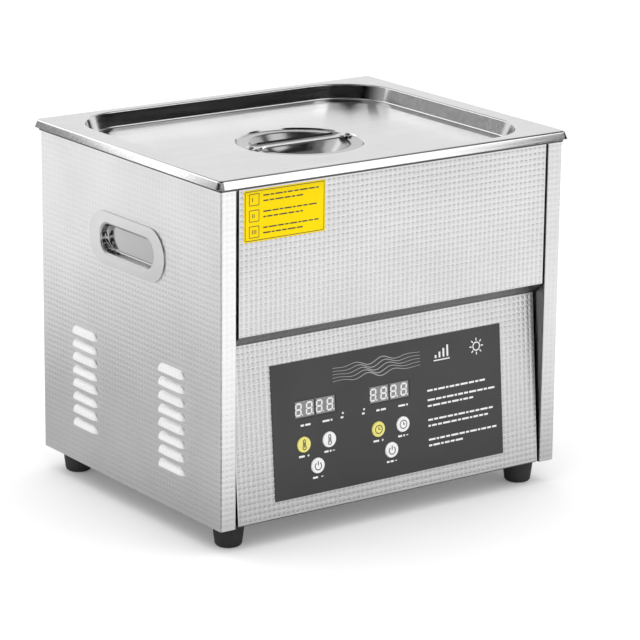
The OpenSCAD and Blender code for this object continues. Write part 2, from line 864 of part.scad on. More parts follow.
module heat_sink() {
    fins = 7;
    fin_t = 1.6;
    step = (sink_d - fin_t) / (fins - 1);
    color("silver") translate([sink_x - sink_w / 2, -sink_d / 2, gen_top]) {
        translate([sink_w - sink_wall, 0, 0]) cube([sink_wall, sink_d, sink_h]);
        for (i = [0:fins - 1]) translate([0, i * step, 0]) cube([sink_w - sink_wall + 1, fin_t, sink_h]);
    }
}

module power_transistors() {
    w = sink_d * 0.18;
    h = sink_h * 0.58;
    t = sink_wall;
    lead_w = 1.2;
    lead_h = 8;
    color("black") for (i = [-1.5:1.5])
        translate([sink_x + sink_w / 2, i * sink_d / 4.5, gen_top]) {
            translate([0, -w / 2, lead_h]) cube([t, w, h]);
            for (k = [-1:1]) translate([0.4 * t, k * w / 3 - lead_w / 2, 0]) cube([0.8, lead_w, lead_h + 1]);
        }
}

module output_transformer() {
    core = 34;
    plate = 8;
    rise = 22;
    color("saddlebrown") translate([gen_w / 4 + 2, gen_d / 4, gen_top]) {
        for (z = [0, rise]) translate([0, 0, z]) block(core, core, plate);
        translate([0, 0, plate / 2]) {
            block(core * 0.74, core + plate, rise);
            for (sx = [-1, 1]) translate([sx * core * 0.435, 0, 0]) block(core * 0.13, core, rise);
        }
    }
}

module capacitors() {
    r = 10;
    h = 34;
    step = 24;
    color("midnightblue") for (sy = [-1, 1])
        translate([gen_w / 4 + 2, -gen_d / 4 + sy * step / 2, gen_top]) rotate_extrude() polygon([
            [0, 0], [r, 0], [r, 3], [r - 0.8, 4], [r, 5],
            [r, h - 1], [r - 1, h], [r - 2, h - 0.6], [0, h - 0.6]
        ]);
}

// Cooling fan behind the back panel, with its axis along Y; here z points out of the back

fan_screw_r = 2;
fan_screw_at = fan_size / 2 - 4.25;
hub_r = fan_size * 0.19;
spider_t = 3;
bearing_r = fan_axle_d / 2 + 3;
module fan_screw_places() four_corners(fan_screw_at, fan_screw_at) children();

module fan_frame() {
    color("black") on_back(fan_x, fan_z) translate([0, 0, -sheet - fan_depth]) difference() {
        union() {
            linear_extrude(fan_depth) difference() {
                square(fan_size, center = true);
                circle(r = fan_duct_r);
            }
            linear_extrude(spider_t) {
                circle(r = hub_r);
                for (a = [45, 135]) rotate(a) square([2 * fan_duct_r + 4, 4], center = true);
            }
            cylinder(r = bearing_r, h = fan_depth * 0.65);
        }
        translate([0, 0, 1]) cylinder(r = fan_axle_d / 2 + running_gap, h = fan_depth);
        fan_screw_places() translate([0, 0, -1]) cylinder(r = fan_screw_r + hole_gap, h = fan_depth + 2);
    }
}

module fan_rotor() {
    blades = 7;
    blade_h = fan_depth * 0.5;
    pitch = 52;
    cup_z = spider_t + 2;
    cup_top = fan_depth - 3;
    tip_r = fan_duct_r - duct_gap;
    color("black") on_back(fan_x, fan_z) translate([0, 0, -sheet - fan_depth]) {
        difference() {
            translate([0, 0, cup_z]) cylinder(r = hub_r, h = cup_top - cup_z);
            translate([0, 0, cup_z - 1]) cylinder(r = hub_r - 1.5, h = cup_top - cup_z - 1);
        }
        translate([0, 0, 2]) cylinder(r = fan_axle_d / 2, h = cup_top - 3);
        intersection() {
            for (i = [0:blades - 1]) rotate(i * 360 / blades)
                translate([hub_r - 0.8, 0, (cup_z + cup_top) / 2]) rotate([pitch, 0, 0])
                    translate([0, -blade_h / 2, -0.7]) cube([fan_duct_r, blade_h, 1.4]);
            translate([0, 0, cup_z]) cylinder(r = tip_r, h = cup_top - cup_z);
        }
    }
}

module fan_guard() {
    wire = 0.9;
    rings = 4;
    color("silver") on_back(fan_x, fan_z) {
        for (i = [1:rings]) translate([0, 0, 2.6 * wire]) rotate_extrude()
            translate([fan_hole * i / rings - 1, 0]) circle(r = wire, $fn = 24);
        for (a = [45:90:315]) rotate(a) translate([0, 0, wire])
            rod_x(wire, fan_hole / rings - 1, fan_screw_at * sqrt(2) - fan_screw_r - 1);
        fan_screw_places() washer(fan_screw_r + 2.6, fan_screw_r + hole_gap, 2 * wire);
    }
}

module fan_screws() {
    guard_t = 1.8;
    color("silver") on_back(fan_x, fan_z) fan_screw_places() translate([0, 0, guard_t]) {
        cylinder(r = 3.6, h = 1.4);
        translate([0, 0, -guard_t - sheet - fan_depth + 4])
            cylinder(r = fan_screw_r, h = guard_t + sheet + fan_depth - 3.5);
    }
}

// Mains inlet and power switch; here z points out of the back

inlet_w = 27;
inlet_h = 20;
inlet_wall = 1.4;
inlet_depth = 16;
inlet_flange = 3;
blade_pitch = 7;
blade_t = 2;
blade_w = 4;
earth_up = 4;
blade_places = [[-blade_pitch, 0], [0, earth_up], [blade_pitch, 0]];

module inlet_blade_forms(grow, z0, z1) {
    for (p = blade_places) translate([p.x, p.y - earth_up / 2, z0])
        block(blade_t + grow, blade_w + grow, z1 - z0);
}

module mains_inlet() {
    ear = 10;
    color("black") on_back(inlet_x, inlet_z) difference() {
        union() {
            translate([0, 0, -inlet_depth - 2]) block(inlet_w, inlet_h, inlet_depth + 2);
            linear_extrude(inlet_flange) {
                square([inlet_w + ear, inlet_h + 4], center = true);
                for (sx = [-1, 1]) translate([sx * (inlet_w + ear) / 2, 0]) circle(d = inlet_h + 4);
            }
        }
        translate([0, 0, inlet_flange - inlet_depth])
            block(inlet_w - 2 * inlet_wall, inlet_h - 2 * inlet_wall, 2 * inlet_depth);
        inlet_blade_forms(0.1, -inlet_depth - 5, 0);
    }
}

module inlet_blades() {
    color("silver") on_back(inlet_x, inlet_z) inlet_blade_forms(0, -inlet_depth - 10, -1);
}

switch_w = 13;
switch_l = 19;
switch_rim = 1.5;
switch_wall = 1;
rocker_pin_r = 1;
rocker_up = 0.5;

module switch_housing() {
    depth = 16;
    color("black") on_back(switch_x, inlet_z) difference() {
        union() {
            translate([0, 0, -depth]) block(switch_w, switch_l, depth);
            block(switch_w + 2 * switch_rim, switch_l + 2 * switch_rim, 2);
        }
        translate([0, 0, -depth + 4])
            block(switch_w - 2 * switch_wall, switch_l - 2 * switch_wall, depth);
        translate([-switch_w / 2 + 0.3, 0, rocker_up])
            rod_x(rocker_pin_r + running_gap, 0, switch_w - 0.6);
    }
}

// The rocker rests tilted to one side, and the two halves of its top make a shallow valley
module switch_rocker() {
    w = switch_w - 2 * switch_wall - 2 * clear;
    reach = switch_l / 2 - switch_wall - 2 * clear;
    crown = 4;
    dip = reach * tan(rocker_turn / 2) * 0.8;
    color("firebrick") on_back(switch_x, inlet_z) translate([0, 0, rocker_up])
        rotate([rocker_turn / 2, 0, 0]) {
            translate([-w / 2, 0, 0]) rotate([90, 0, 90]) linear_extrude(w) polygon([
                [-reach + 1.2, -3], [reach - 1.2, -3], [reach - 0.4, crown], [0, crown - dip],
                [-reach + 0.4, crown]
            ]);
            rod_x(rocker_pin_r, -w / 2 - switch_wall, w / 2 + switch_wall);
        }
}

// Drain: from the tank's floor through the right side to a ball valve

module drain_fitting() {
    lip = 4;
    color("silver") translate([drain_x, drain_y, 0]) difference() {
        union() {
            translate([0, 0, tank_z]) cylinder(r1 = drain_r + lip, r2 = drain_r + lip - 1, h = 1.5);
            translate([0, 0, drain_z + 5]) cylinder(r = drain_r, h = tank_z + 1 - drain_z - 5);
        }
        translate([0, 0, drain_z]) cylinder(d = drain_bore, h = tank_z - drain_z + 5);
    }
}

elbow_r = drain_r + 2.5;
elbow_up = 11;
module drain_elbow() {
    color("gray") translate([drain_x, drain_y, drain_z]) difference() {
        union() {
            sphere(r = elbow_r);
            cylinder(r = elbow_r, h = elbow_up);
            rod_x(elbow_r, 0, half_w - sheet - nut_h - 2 - drain_x);
            rod_x(drain_r, 0, valve_x + 8 - drain_x);
        }
        translate([0, 0, 5]) cylinder(r = drain_r + hole_gap, h = elbow_up);
        cylinder(d = drain_bore, h = elbow_up);
        rod_x(drain_bore / 2, 0, valve_x + 10 - drain_x);
    }
}

module hex_nut(h) {
    difference() {
        cylinder(r = nut_r, h = h, $fn = 6);
        translate([0, 0, -1]) cylinder(r = drain_r + hole_gap, h = h + 2);
    }
}

module drain_nuts() {
    color("silver") {
        translate([drain_x, drain_y, under_z - nut_h]) hex_nut(nut_h);
        for (x = [half_w - sheet - nut_h, half_w])
            translate([x, drain_y, drain_z]) rotate([0, 90, 0]) hex_nut(nut_h);
    }
}

module valve_body() {
    boss_h = 16;
    end = valve_x + valve_len;
    color("silver") translate([0, drain_y, drain_z]) difference() {
        union() {
            rod_x(valve_r, valve_x, end);
            rod_x(drain_r, end - 1, end + spigot_len);
            translate([stem_x, 0, 0]) cylinder(r = stem_r + 3, h = boss_h);
            for (x = [valve_x, end - 7]) translate([x, 0, 0]) rotate([0, 90, 0])
                cylinder(r = valve_r + 1.5, h = 7, $fn = 6);
        }
        rod_x(drain_r + hole_gap, valve_x - 1, valve_x + 8);
        rod_x(drain_bore / 2, valve_x, end + spigot_len + 1);
        translate([stem_x, 0, 0]) sphere(r = ball_r + clear);
        translate([stem_x, 0, 0]) cylinder(r = stem_r + running_gap, h = boss_h + 1);
    }
}

// The ball's bore lies across the pipe at rest, which is the closed position
module valve_ball() {
    color("gainsboro") translate([stem_x, drain_y, drain_z]) {
        difference() {
            sphere(r = ball_r);
            rotate([90, 0, 0]) cylinder(d = drain_bore, h = 4 * ball_r, center = true);
        }
        translate([0, 0, ball_r - 1]) cylinder(r = stem_r, h = 25 - ball_r);
    }
}

module valve_lever() {
    bar_w = 13;
    bar_t = 2.5;
    lever_z = 16 + clear;
    color("firebrick") translate([stem_x, drain_y, drain_z + lever_z]) difference() {
        linear_extrude(bar_t) {
            circle(d = bar_w);
            translate([-bar_w / 2, -lever_len]) square([bar_w, lever_len]);
            translate([0, -lever_len]) circle(d = bar_w);
        }
        translate([0, 0, -1]) cylinder(r = stem_r + running_gap, h = bar_t + 2);
    }
}

lid_cover();
lid_handle_cup();
lid_handle_strap();
lid_handle_rivets();
tank();
side_panel_left();
side_panel_right();
front_panel();
back_panel();
base_plate();
handle_recess_left();
handle_recess_right();
foot(-1, -1);  // foot_front_left
foot(1, -1);  // foot_front_right
foot(-1, 1);  // foot_back_left
foot(1, 1);  // foot_back_right
foot_screws();
base_screws();
back_panel_screws();
panel_overlay();
for (d = displays) display(d[1]);
for (k = keys) key(k);
control_board();
board_studs();
key_switches();
transducer_front_masses();
piezo_rings();
electrode_plates();
transducer_back_masses();
transducer_bolts();
heater_pads();
temperature_sensor();
generator_board();
board_pillars();
heat_sink();
power_transistors();
output_transformer();
capacitors();
fan_frame();
fan_rotor();
fan_guard();
fan_screws();
mains_inlet();
inlet_blades();
switch_housing();
switch_rocker();
drain_fitting();
drain_elbow();
drain_nuts();
valve_body();
valve_ball();
valve_lever();
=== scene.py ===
# %% [markdown]
# # A bench-top ultrasonic cleaner
# The cleaner is a folded steel casing round a drawn tank, under a loose lid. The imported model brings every
# rigid piece in metres. This lesson adds what the solids leave plain: smooth pressed sheets, the printed
# control panel, the finishes and the studio.

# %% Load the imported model
import json
import math
from functools import partial

import bmesh
import bpy
import numpy as np
from mathutils import Matrix, Vector


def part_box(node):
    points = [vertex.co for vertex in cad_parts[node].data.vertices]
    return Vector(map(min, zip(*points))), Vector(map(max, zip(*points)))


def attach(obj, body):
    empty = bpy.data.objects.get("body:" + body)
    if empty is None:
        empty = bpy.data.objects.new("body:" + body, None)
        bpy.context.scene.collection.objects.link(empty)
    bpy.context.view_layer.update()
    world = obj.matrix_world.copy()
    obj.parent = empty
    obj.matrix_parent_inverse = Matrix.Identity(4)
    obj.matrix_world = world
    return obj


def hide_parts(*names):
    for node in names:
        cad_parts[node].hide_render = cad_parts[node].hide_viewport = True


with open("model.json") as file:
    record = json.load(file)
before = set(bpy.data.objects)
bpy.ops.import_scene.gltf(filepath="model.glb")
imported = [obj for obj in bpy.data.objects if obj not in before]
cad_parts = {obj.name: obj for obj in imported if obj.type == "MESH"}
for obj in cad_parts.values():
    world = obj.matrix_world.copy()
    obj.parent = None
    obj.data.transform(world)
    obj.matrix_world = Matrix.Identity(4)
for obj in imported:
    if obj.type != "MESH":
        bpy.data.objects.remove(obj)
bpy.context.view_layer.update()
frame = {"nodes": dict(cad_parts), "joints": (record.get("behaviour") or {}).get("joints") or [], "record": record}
scene = bpy.context.scene
scene.view_settings.view_transform = "Standard"
MM = 0.001

# %% [markdown]
# ## Camera
# The picture was taken from the front left with a long lens, a little above the lid. A camera could be
# placed by eye, but a fit of the casing's, the lid's and the panel's corners gives all its angles at once,
# and a small roll that no one would guess. The long lens keeps the uprights almost parallel.

# %% Camera
YAW, PITCH, ROLL = (math.radians(a) for a in (-35.39, 15.59, 0.541))
AIM, CAMERA_DISTANCE = Vector((0.02089, 0, 0.1246)), 2.513
LENS_PIXELS, FRAME_PIXELS, SENSOR = 3174, 640, 36

ahead = Vector((-math.sin(YAW) * math.cos(PITCH), math.cos(YAW) * math.cos(PITCH), -math.sin(PITCH)))
level = Vector((math.cos(YAW), math.sin(YAW), 0))
across = level * math.cos(ROLL) + level.cross(ahead) * math.sin(ROLL)
camera = bpy.data.objects.new("camera", bpy.data.cameras.new("camera"))
scene.collection.objects.link(camera)
turn = Matrix((across, across.cross(ahead), -ahead)).transposed()
camera.matrix_world = Matrix.Translation(AIM - ahead * CAMERA_DISTANCE) @ turn.to_4x4()
camera.data.sensor_width = SENSOR
camera.data.lens = LENS_PIXELS * SENSOR / FRAME_PIXELS
camera.data.clip_end = 50
scene.camera = camera
print("lens", round(camera.data.lens, 1), "mm")

# %% [markdown]
# ## Finishes
# Steel, film, rubber and plastic all have a fine grain with soft clouds, which keeps a surface from being
# one flat colour. The casing's sheet also has a square grid of pressed dots. Dots as a picture would blur
# from near by, and dots as geometry would be many thousands of faces, so they are worked out from the place
# on the sheet. Each of the two effects is a node group: it is built once, and a material that needs it
# places it with its own values.

# %% Node helpers
def add(tree, kind, inputs=None, **settings):
    """Adds a node: settings are its attributes, inputs are values or the sockets that feed it."""
    made = tree.nodes.new(kind)
    for key, value in settings.items():
        setattr(made, key, value)
    for key, value in (inputs or {}).items():
        if isinstance(value, bpy.types.NodeSocket):
            tree.links.new(value, made.inputs[key])
        else:
            made.inputs[key].default_value = value
    return made


def sums(tree, operation, *values):
    """One Math node on values or sockets."""
    return add(tree, "ShaderNodeMath", dict(enumerate(values)), operation=operation).outputs[0]


def ranged(tree, value, low, high, to_low=0.0, to_high=1.0, **settings):
    """A value carried from low..high to to_low..to_high, and held at the ends."""
    limits = {"Value": value, "From Min": low, "From Max": high, "To Min": to_low, "To Max": to_high}
    return add(tree, "ShaderNodeMapRange", limits, **settings).outputs[0]


def parts_of(tree, vector):
    """The sockets of a vector's three parts."""
    return add(tree, "ShaderNodeSeparateXYZ", {0: vector}).outputs


def tone(value):
    """A colour as it is, or a grey level as a colour."""
    return value if isinstance(value, tuple) else (value, value, value)


def mixed(tree, share, colour, towards):
    """A colour, or a colour's socket, that goes towards another colour by a share."""
    if not isinstance(colour, bpy.types.NodeSocket):
        colour = (*tone(colour), 1)
    ends = {0: share, 6: colour, 7: (*tone(towards), 1)}
    return add(tree, "ShaderNodeMix", ends, data_type="RGBA").outputs[2]


def dimmed(tree, colour, share):
    """A colour's socket times a share."""
    return add(tree, "ShaderNodeVectorMath", {0: colour, 3: share}, operation="SCALE").outputs[0]


def new_group(name, inputs, outputs):
    """An empty node group with named sockets: its tree, its input node and its output node."""
    tree = bpy.data.node_groups.new(name, "ShaderNodeTree")
    for socket, kind in inputs.items():
        tree.interface.new_socket(socket, in_out="INPUT", socket_type=kind)
    for socket, kind in outputs.items():
        tree.interface.new_socket(socket, in_out="OUTPUT", socket_type=kind)
    return tree, tree.nodes.new("NodeGroupInput"), tree.nodes.new("NodeGroupOutput")


VECTOR, FLOAT = "NodeSocketVector", "NodeSocketFloat"
print("a grey level as a colour:", tone(0.5))

# %% Group: grain and clouds
NOISE_LOW, NOISE_HIGH = 0.3, 0.7
grain_group, given, result = new_group(
    "grain_and_clouds",
    {"Place": VECTOR, "Stretch": VECTOR, "Grain Scale": FLOAT, "Cloud Scale": FLOAT},
    {"Grain": FLOAT, "Cloud": FLOAT},
)
given = given.outputs
drawn_out = add(grain_group, "ShaderNodeVectorMath", {0: given["Place"], 1: given["Stretch"]},
                operation="MULTIPLY").outputs[0]
fine = add(grain_group, "ShaderNodeTexNoise",
           {"Vector": drawn_out, "Scale": given["Grain Scale"], "Detail": 4.0, "Roughness": 0.6})
broad = add(grain_group, "ShaderNodeTexNoise",
            {"Vector": given["Place"], "Scale": given["Cloud Scale"], "Detail": 3.0})
for noise, socket in ((fine, "Grain"), (broad, "Cloud")):
    spread = ranged(grain_group, noise.outputs[0], NOISE_LOW, NOISE_HIGH)
    grain_group.links.new(spread, result.inputs[socket])
print("group", grain_group.name)

# %% Group: pressed dots
# u and v are the place along the sheet in steps of the pitch: y and z on a side, x and z on the front and
# the back. A dot is 1 within a circle round the middle of each step and falls to 0 at its rim. On the sides
# and on the two front strips the dots are shallower. The group also tells where light is painted: a painted
# highlight on the strip at the front left and on the louvres' hoods, and painted shade on the faces in a fold
# and on the faces that look down. Distances are metres from the middle along X, and facings are parts of the
# surface's normal.
SIDE_FACING, UNDER_FACING = 0.7, -0.35
STRIP_FROM, POCKET_TO, HOOD_FROM, HOOD_TO = 0.1434, 0.15, 0.1582, 0.1592
DOT_RIM, DOT_TOP, FLATTENED = 0.46, 0.2, 0.6
dot_group, given, result = new_group(
    "pressed_dots",
    {"Place": VECTOR, "Facing": VECTOR, "Pitch": FLOAT},
    {"Dot": FLOAT, "Strip": FLOAT, "Painted Shade": FLOAT, "Hood": FLOAT},
)
count = partial(sums, dot_group)
place, facing = (parts_of(dot_group, given.outputs[socket]) for socket in ("Place", "Facing"))
out_from_middle = count("ABSOLUTE", place[0])
on_side = count("GREATER_THAN", count("ABSOLUTE", facing[0]), SIDE_FACING)
along = add(dot_group, "ShaderNodeMix", {0: on_side, 2: place[0], 3: place[1]}).outputs[0]
squares = []
for run in (along, place[2]):
    step = count("FRACT", count("DIVIDE", run, given.outputs["Pitch"]))
    from_centre = count("SUBTRACT", step, 0.5)
    squares.append(count("MULTIPLY", from_centre, from_centre))
radius = count("SQRT", count("ADD", *squares))
dot = ranged(dot_group, radius, DOT_RIM, DOT_TOP, interpolation_type="SMOOTHSTEP")
at_front = count("MULTIPLY", count("LESS_THAN", place[1], 0), count("SUBTRACT", 1.0, on_side))
strip = count("MULTIPLY", at_front, count("GREATER_THAN", out_from_middle, STRIP_FROM))
flattened = count("MULTIPLY", count("MAXIMUM", strip, on_side), FLATTENED)
in_pocket = count("MULTIPLY", on_side, count("LESS_THAN", out_from_middle, POCKET_TO))
told = {
    "Dot": count("MULTIPLY", dot, count("SUBTRACT", 1.0, flattened)),
    "Strip": count("MULTIPLY", strip, count("LESS_THAN", place[0], 0)),
    "Painted Shade": count("MAXIMUM", in_pocket, count("LESS_THAN", facing[2], UNDER_FACING)),
    "Hood": ranged(dot_group, out_from_middle, HOOD_FROM, HOOD_TO),
}
for socket, value in told.items():
    dot_group.links.new(value, result.inputs[socket])
print("group", dot_group.name)

# %% [markdown]
# ## What one sheet has and another hasn't
# The casing has its dots with painted shade and highlights, the grips painted shade in a recess, the tank's
# lip a painted shadow under the lid's edge and the lid a dull level floor.
# One long function with all of it would be hard to read, so each is a short helper that changes a look: a
# dict of the sockets for colour, height and roughness. The finish then links what is in the dict.

# %% Dots on a finish
DOT_PITCH, DOT_HEIGHT, DOT_SHADE_TONE = 0.0043, 3.0, 0.16
# Painted light on the casing: a painted highlight on the strip and on the hoods, painted shade in the folds.
PAINTED_LIGHT_TONES = {"Strip": 0.91, "Painted Shade": 0.24, "Hood": 0.97}
HOOD_ROUGH, HOOD_METAL = 0.25, 0.45


def press_dots(tree, where, look, share):
    """Raises the dots and darkens them by a share, which is painted shade of their relief. Paints a highlight on
    the strip and the hoods, and shade in the folds.

    A hood mirrors less and its colour holds a painted highlight, to stay bright from every side: it is rougher
    by HOOD_ROUGH, and HOOD_METAL is its Metallic."""
    sheet = {"Place": where["Object"], "Facing": where["Normal"], "Pitch": DOT_PITCH}
    pressed = add(tree, "ShaderNodeGroup", sheet, node_tree=dot_group).outputs
    for patch, grey in PAINTED_LIGHT_TONES.items():
        look["Base Color"] = mixed(tree, pressed[patch], look["Base Color"], grey)
    # Painted shade on the dots, standing in for the shading of their relief.
    shade = sums(tree, "MULTIPLY", pressed["Dot"], share)
    look["Base Color"] = mixed(tree, shade, look["Base Color"], DOT_SHADE_TONE)
    look["Height"] = sums(tree, "MULTIPLY_ADD", pressed["Dot"], DOT_HEIGHT, look["Height"])
    look["Roughness"] = sums(tree, "MULTIPLY_ADD", pressed["Hood"], HOOD_ROUGH, look["Roughness"])
    look["Metallic"] = sums(tree, "MULTIPLY_ADD", pressed["Hood"], HOOD_METAL - 1, 1.0)


print("dots stand", DOT_PITCH / MM, "mm apart")

# %% Painted shade in a recess on a finish
RIM_RISE, BEZEL_LIFT, BEZEL_ROUGH = 0.003, 0.002, 0.2


def paint_recess_shade(tree, where, look, sunk):
    """Paints shade in the recess: leaves a share of the colour nearer to the middle along X than an edge, and
    roughens the bezel.

    sunk is the edge's distance from the middle and the share."""
    edge, share = sunk
    bezel = edge + BEZEL_LIFT
    away = sums(tree, "ABSOLUTE", parts_of(tree, where["Object"])[0])
    look["Base Color"] = dimmed(tree, look["Base Color"], ranged(tree, away, edge, edge + RIM_RISE, share))
    rougher = ranged(tree, away, bezel, bezel + RIM_RISE, 0, BEZEL_ROUGH)
    look["Roughness"] = sums(tree, "ADD", look["Roughness"], rougher)


print("a recess darkens over", RIM_RISE / MM, "mm")

# %% A painted shadow on the lip and a level floor on a finish
LIP_HALF, LINE_HALF, LINE_FADE, LINE_DARK, LIP_DARK = (0.157, 0.127), 0.0004, 0.001, 0.9, 0.25
LEVEL_FROM, LEVEL_TO = 0.96, 0.995


def paint_lip_shadow(tree, where, look, height):
    """Paints shade on the outside of the lip, darkest in a thin painted shadow at a height, where the lid's edge
    lies over it.
    """
    place = parts_of(tree, where["Object"])
    sides = [sums(tree, "ABSOLUTE", place[k]) for k in (0, 1)]
    reach = [sums(tree, "DIVIDE", side, half) for side, half in zip(sides, LIP_HALF)]
    on_lip = sums(tree, "GREATER_THAN", sums(tree, "MAXIMUM", *reach), 1.0)
    off_line = sums(tree, "ABSOLUTE", sums(tree, "SUBTRACT", place[2], height))
    shade = sums(tree, "MULTIPLY", ranged(tree, off_line, LINE_HALF, LINE_FADE, LINE_DARK, LIP_DARK), on_lip)
    look["Base Color"] = dimmed(tree, look["Base Color"], sums(tree, "SUBTRACT", 1.0, shade))


def dull_level(tree, where, look, more):
    """Adds roughness where the sheet lies level, so that a pan's floor is softer than its folds."""
    upward = parts_of(tree, where["Normal"])[2]
    rougher = ranged(tree, upward, LEVEL_FROM, LEVEL_TO, 0, more)
    look["Roughness"] = sums(tree, "ADD", look["Roughness"], rougher)


print("level means within", round(math.degrees(math.acos(LEVEL_FROM))), "degrees")

# %% One function for every finish
RELIEF = 0.0002


def finish(name, dark, light, rough, grain=900.0, stretch=(1, 1, 1), cloud=18.0, bump=0.1, dots=None,
           sunk=None, joint=None, level=None, **shader):
    """A material: colour from dark to light by the clouds, roughness and relief by the grain.

    dots, sunk, joint and level are what press_dots, paint_recess_shade, paint_lip_shadow and dull_level take. shader
    holds plain values of the Principled BSDF."""
    material = bpy.data.materials.new(name)
    material.use_nodes = True
    tree = material.node_tree
    bsdf = tree.nodes["Principled BSDF"]
    for key, value in shader.items():
        bsdf.inputs[key.replace("_", " ").title().replace("Ior", "IOR")].default_value = value
    where = add(tree, "ShaderNodeTexCoord").outputs
    scales = {"Place": where["Object"], "Stretch": stretch, "Grain Scale": grain, "Cloud Scale": cloud}
    effect = add(tree, "ShaderNodeGroup", scales, node_tree=grain_group).outputs
    look = {"Base Color": mixed(tree, effect["Cloud"], dark, light), "Height": effect["Grain"],
            "Roughness": ranged(tree, effect["Grain"], 0, 1, *rough)}
    for change, given in ((press_dots, dots), (paint_recess_shade, sunk), (paint_lip_shadow, joint), (dull_level, level)):
        if given is not None:
            change(tree, where, look, given)
    relief = {"Height": look.pop("Height"), "Strength": bump, "Distance": RELIEF}
    look["Normal"] = add(tree, "ShaderNodeBump", relief).outputs[0]
    for socket, value in look.items():
        tree.links.new(value, bsdf.inputs[socket])
    return material


print("a height of 1 stands for", RELIEF / MM, "mm")

# %% The finishes of the record's slots
# Each row is the darkest and the lightest colour, the range of roughness, and what else differs. A stretch
# below 1 draws the grain out along that axis, as brushing does.
ALONG_X, ALONG_Y = (0.04, 1, 1), (1, 0.04, 1)
looks = {
    "casing_steel": (0.7, 0.75, (0.28, 0.38), dict(dots=0.15, bump=0.42, metallic=1.0)),
    "plain_steel": (0.72, 0.8, (0.24, 0.36), dict(grain=300, stretch=ALONG_Y, metallic=1.0)),
    # The grips' sunk value paints shade in their recess.
    "grip_steel": (0.58, 0.64, (0.08, 0.14),
                   dict(grain=300, stretch=ALONG_Y, bump=0.03, sunk=(0.153, 0.62), metallic=1.0)),
    "lid_steel": (0.68, 0.72, (0.1, 0.16),
                  dict(grain=300, stretch=ALONG_X, bump=0.03, level=0.1, metallic=1.0)),
    # The cup is the lid's brushed steel made darker: painted shade for its hollow.
    "cup_steel": (0.44, 0.49, (0.2, 0.26), dict(grain=300, stretch=ALONG_X, bump=0.03, metallic=1.0)),
    # The tank's lip carries painted shade and a painted shadow line under the lid's edge.
    "tank_steel": (0.74, 0.77, (0.22, 0.27),
                   dict(grain=1400, stretch=(0.3, 1, 0.3), bump=0.03, joint=0.2771, metallic=1.0)),
    "foot_rubber": (0.012, 0.03, (0.55, 0.75), dict(grain=1500, bump=0.3)),
    "zinc_screws": ((0.6, 0.61, 0.63), (0.74, 0.74, 0.75), (0.2, 0.34), dict(metallic=1.0)),
    "overlay_film": (0.028, 0.037, (0.3, 0.42), dict(grain=2500, bump=0.08)),
    "display_face": (0.2, 0.25, (0.18, 0.26), dict(grain=1200, bump=0.02)),
    "key_yellow": ((0.8, 0.72, 0.17), (0.87, 0.79, 0.22), (0.28, 0.38), dict(grain=1800, bump=0.06)),
    "key_white": (0.85, 0.92, (0.28, 0.38), dict(grain=1800, bump=0.06)),
    "circuit_board": ((0.012, 0.1, 0.035), (0.03, 0.2, 0.07), (0.3, 0.5), dict(grain=700, cloud=220.0)),
    "black_plastic": (0.014, 0.026, (0.38, 0.55), dict(grain=1600, bump=0.2)),
    "alloy": ((0.66, 0.67, 0.68), (0.78, 0.79, 0.8), (0.26, 0.4),
              dict(grain=500, stretch=(0.05, 1, 1), metallic=1.0)),
    "piezo_ceramic": (0.1, 0.17, (0.5, 0.65), dict(grain=1200)),
    "bronze_sheet": ((0.6, 0.36, 0.12), (0.74, 0.5, 0.22), (0.24, 0.4), dict(metallic=1.0)),
    "dark_steel": (0.1, 0.2, (0.35, 0.5), dict(grain=600, metallic=1.0)),
    "heater_silicone": ((0.5, 0.11, 0.02), (0.66, 0.18, 0.05), (0.55, 0.7), dict(grain=1400, bump=0.3)),
    "nylon": ((0.76, 0.73, 0.64), (0.86, 0.84, 0.78), (0.4, 0.55), dict(grain=1200)),
    "transformer_ferrite": (0.03, (0.09, 0.07, 0.06), (0.45, 0.65), dict(grain=1000)),
    "capacitor_sleeve": ((0.012, 0.02, 0.1), (0.03, 0.05, 0.2), (0.25, 0.4), dict(grain=900)),
    "plated_brass": ((0.66, 0.64, 0.58), (0.78, 0.76, 0.7), (0.18, 0.32), dict(grain=700, metallic=1.0)),
    "red_plastic": ((0.5, 0.02, 0.015), (0.6, 0.04, 0.03), (0.28, 0.42), dict(grain=1500, bump=0.12)),
}
finishes = {name: finish(name, *look[:3], **look[3]) for name, look in looks.items()}
for part in frame["record"]["subparts"]:
    slots = frame["nodes"][part["node"]].data.materials
    slots.clear()
    slots.append(finishes[part["material_slot"]])

# %% [markdown]
# ## Sheets that are bent and drawn
# The lid, the tank, the handle cup and the grips are each pressed from one sheet. A box with bevelled edges
# would give equal radii everywhere, but a press leaves its own radius at each fold. So a section is a path
# of straight runs with an arc at each fold, and a second face lies one thickness behind it. A drawn sheet
# carries that section round a rounded rectangle, so the whole piece is one grid of points.

# %% A bent sheet's section
FOLD_STEPS = 9


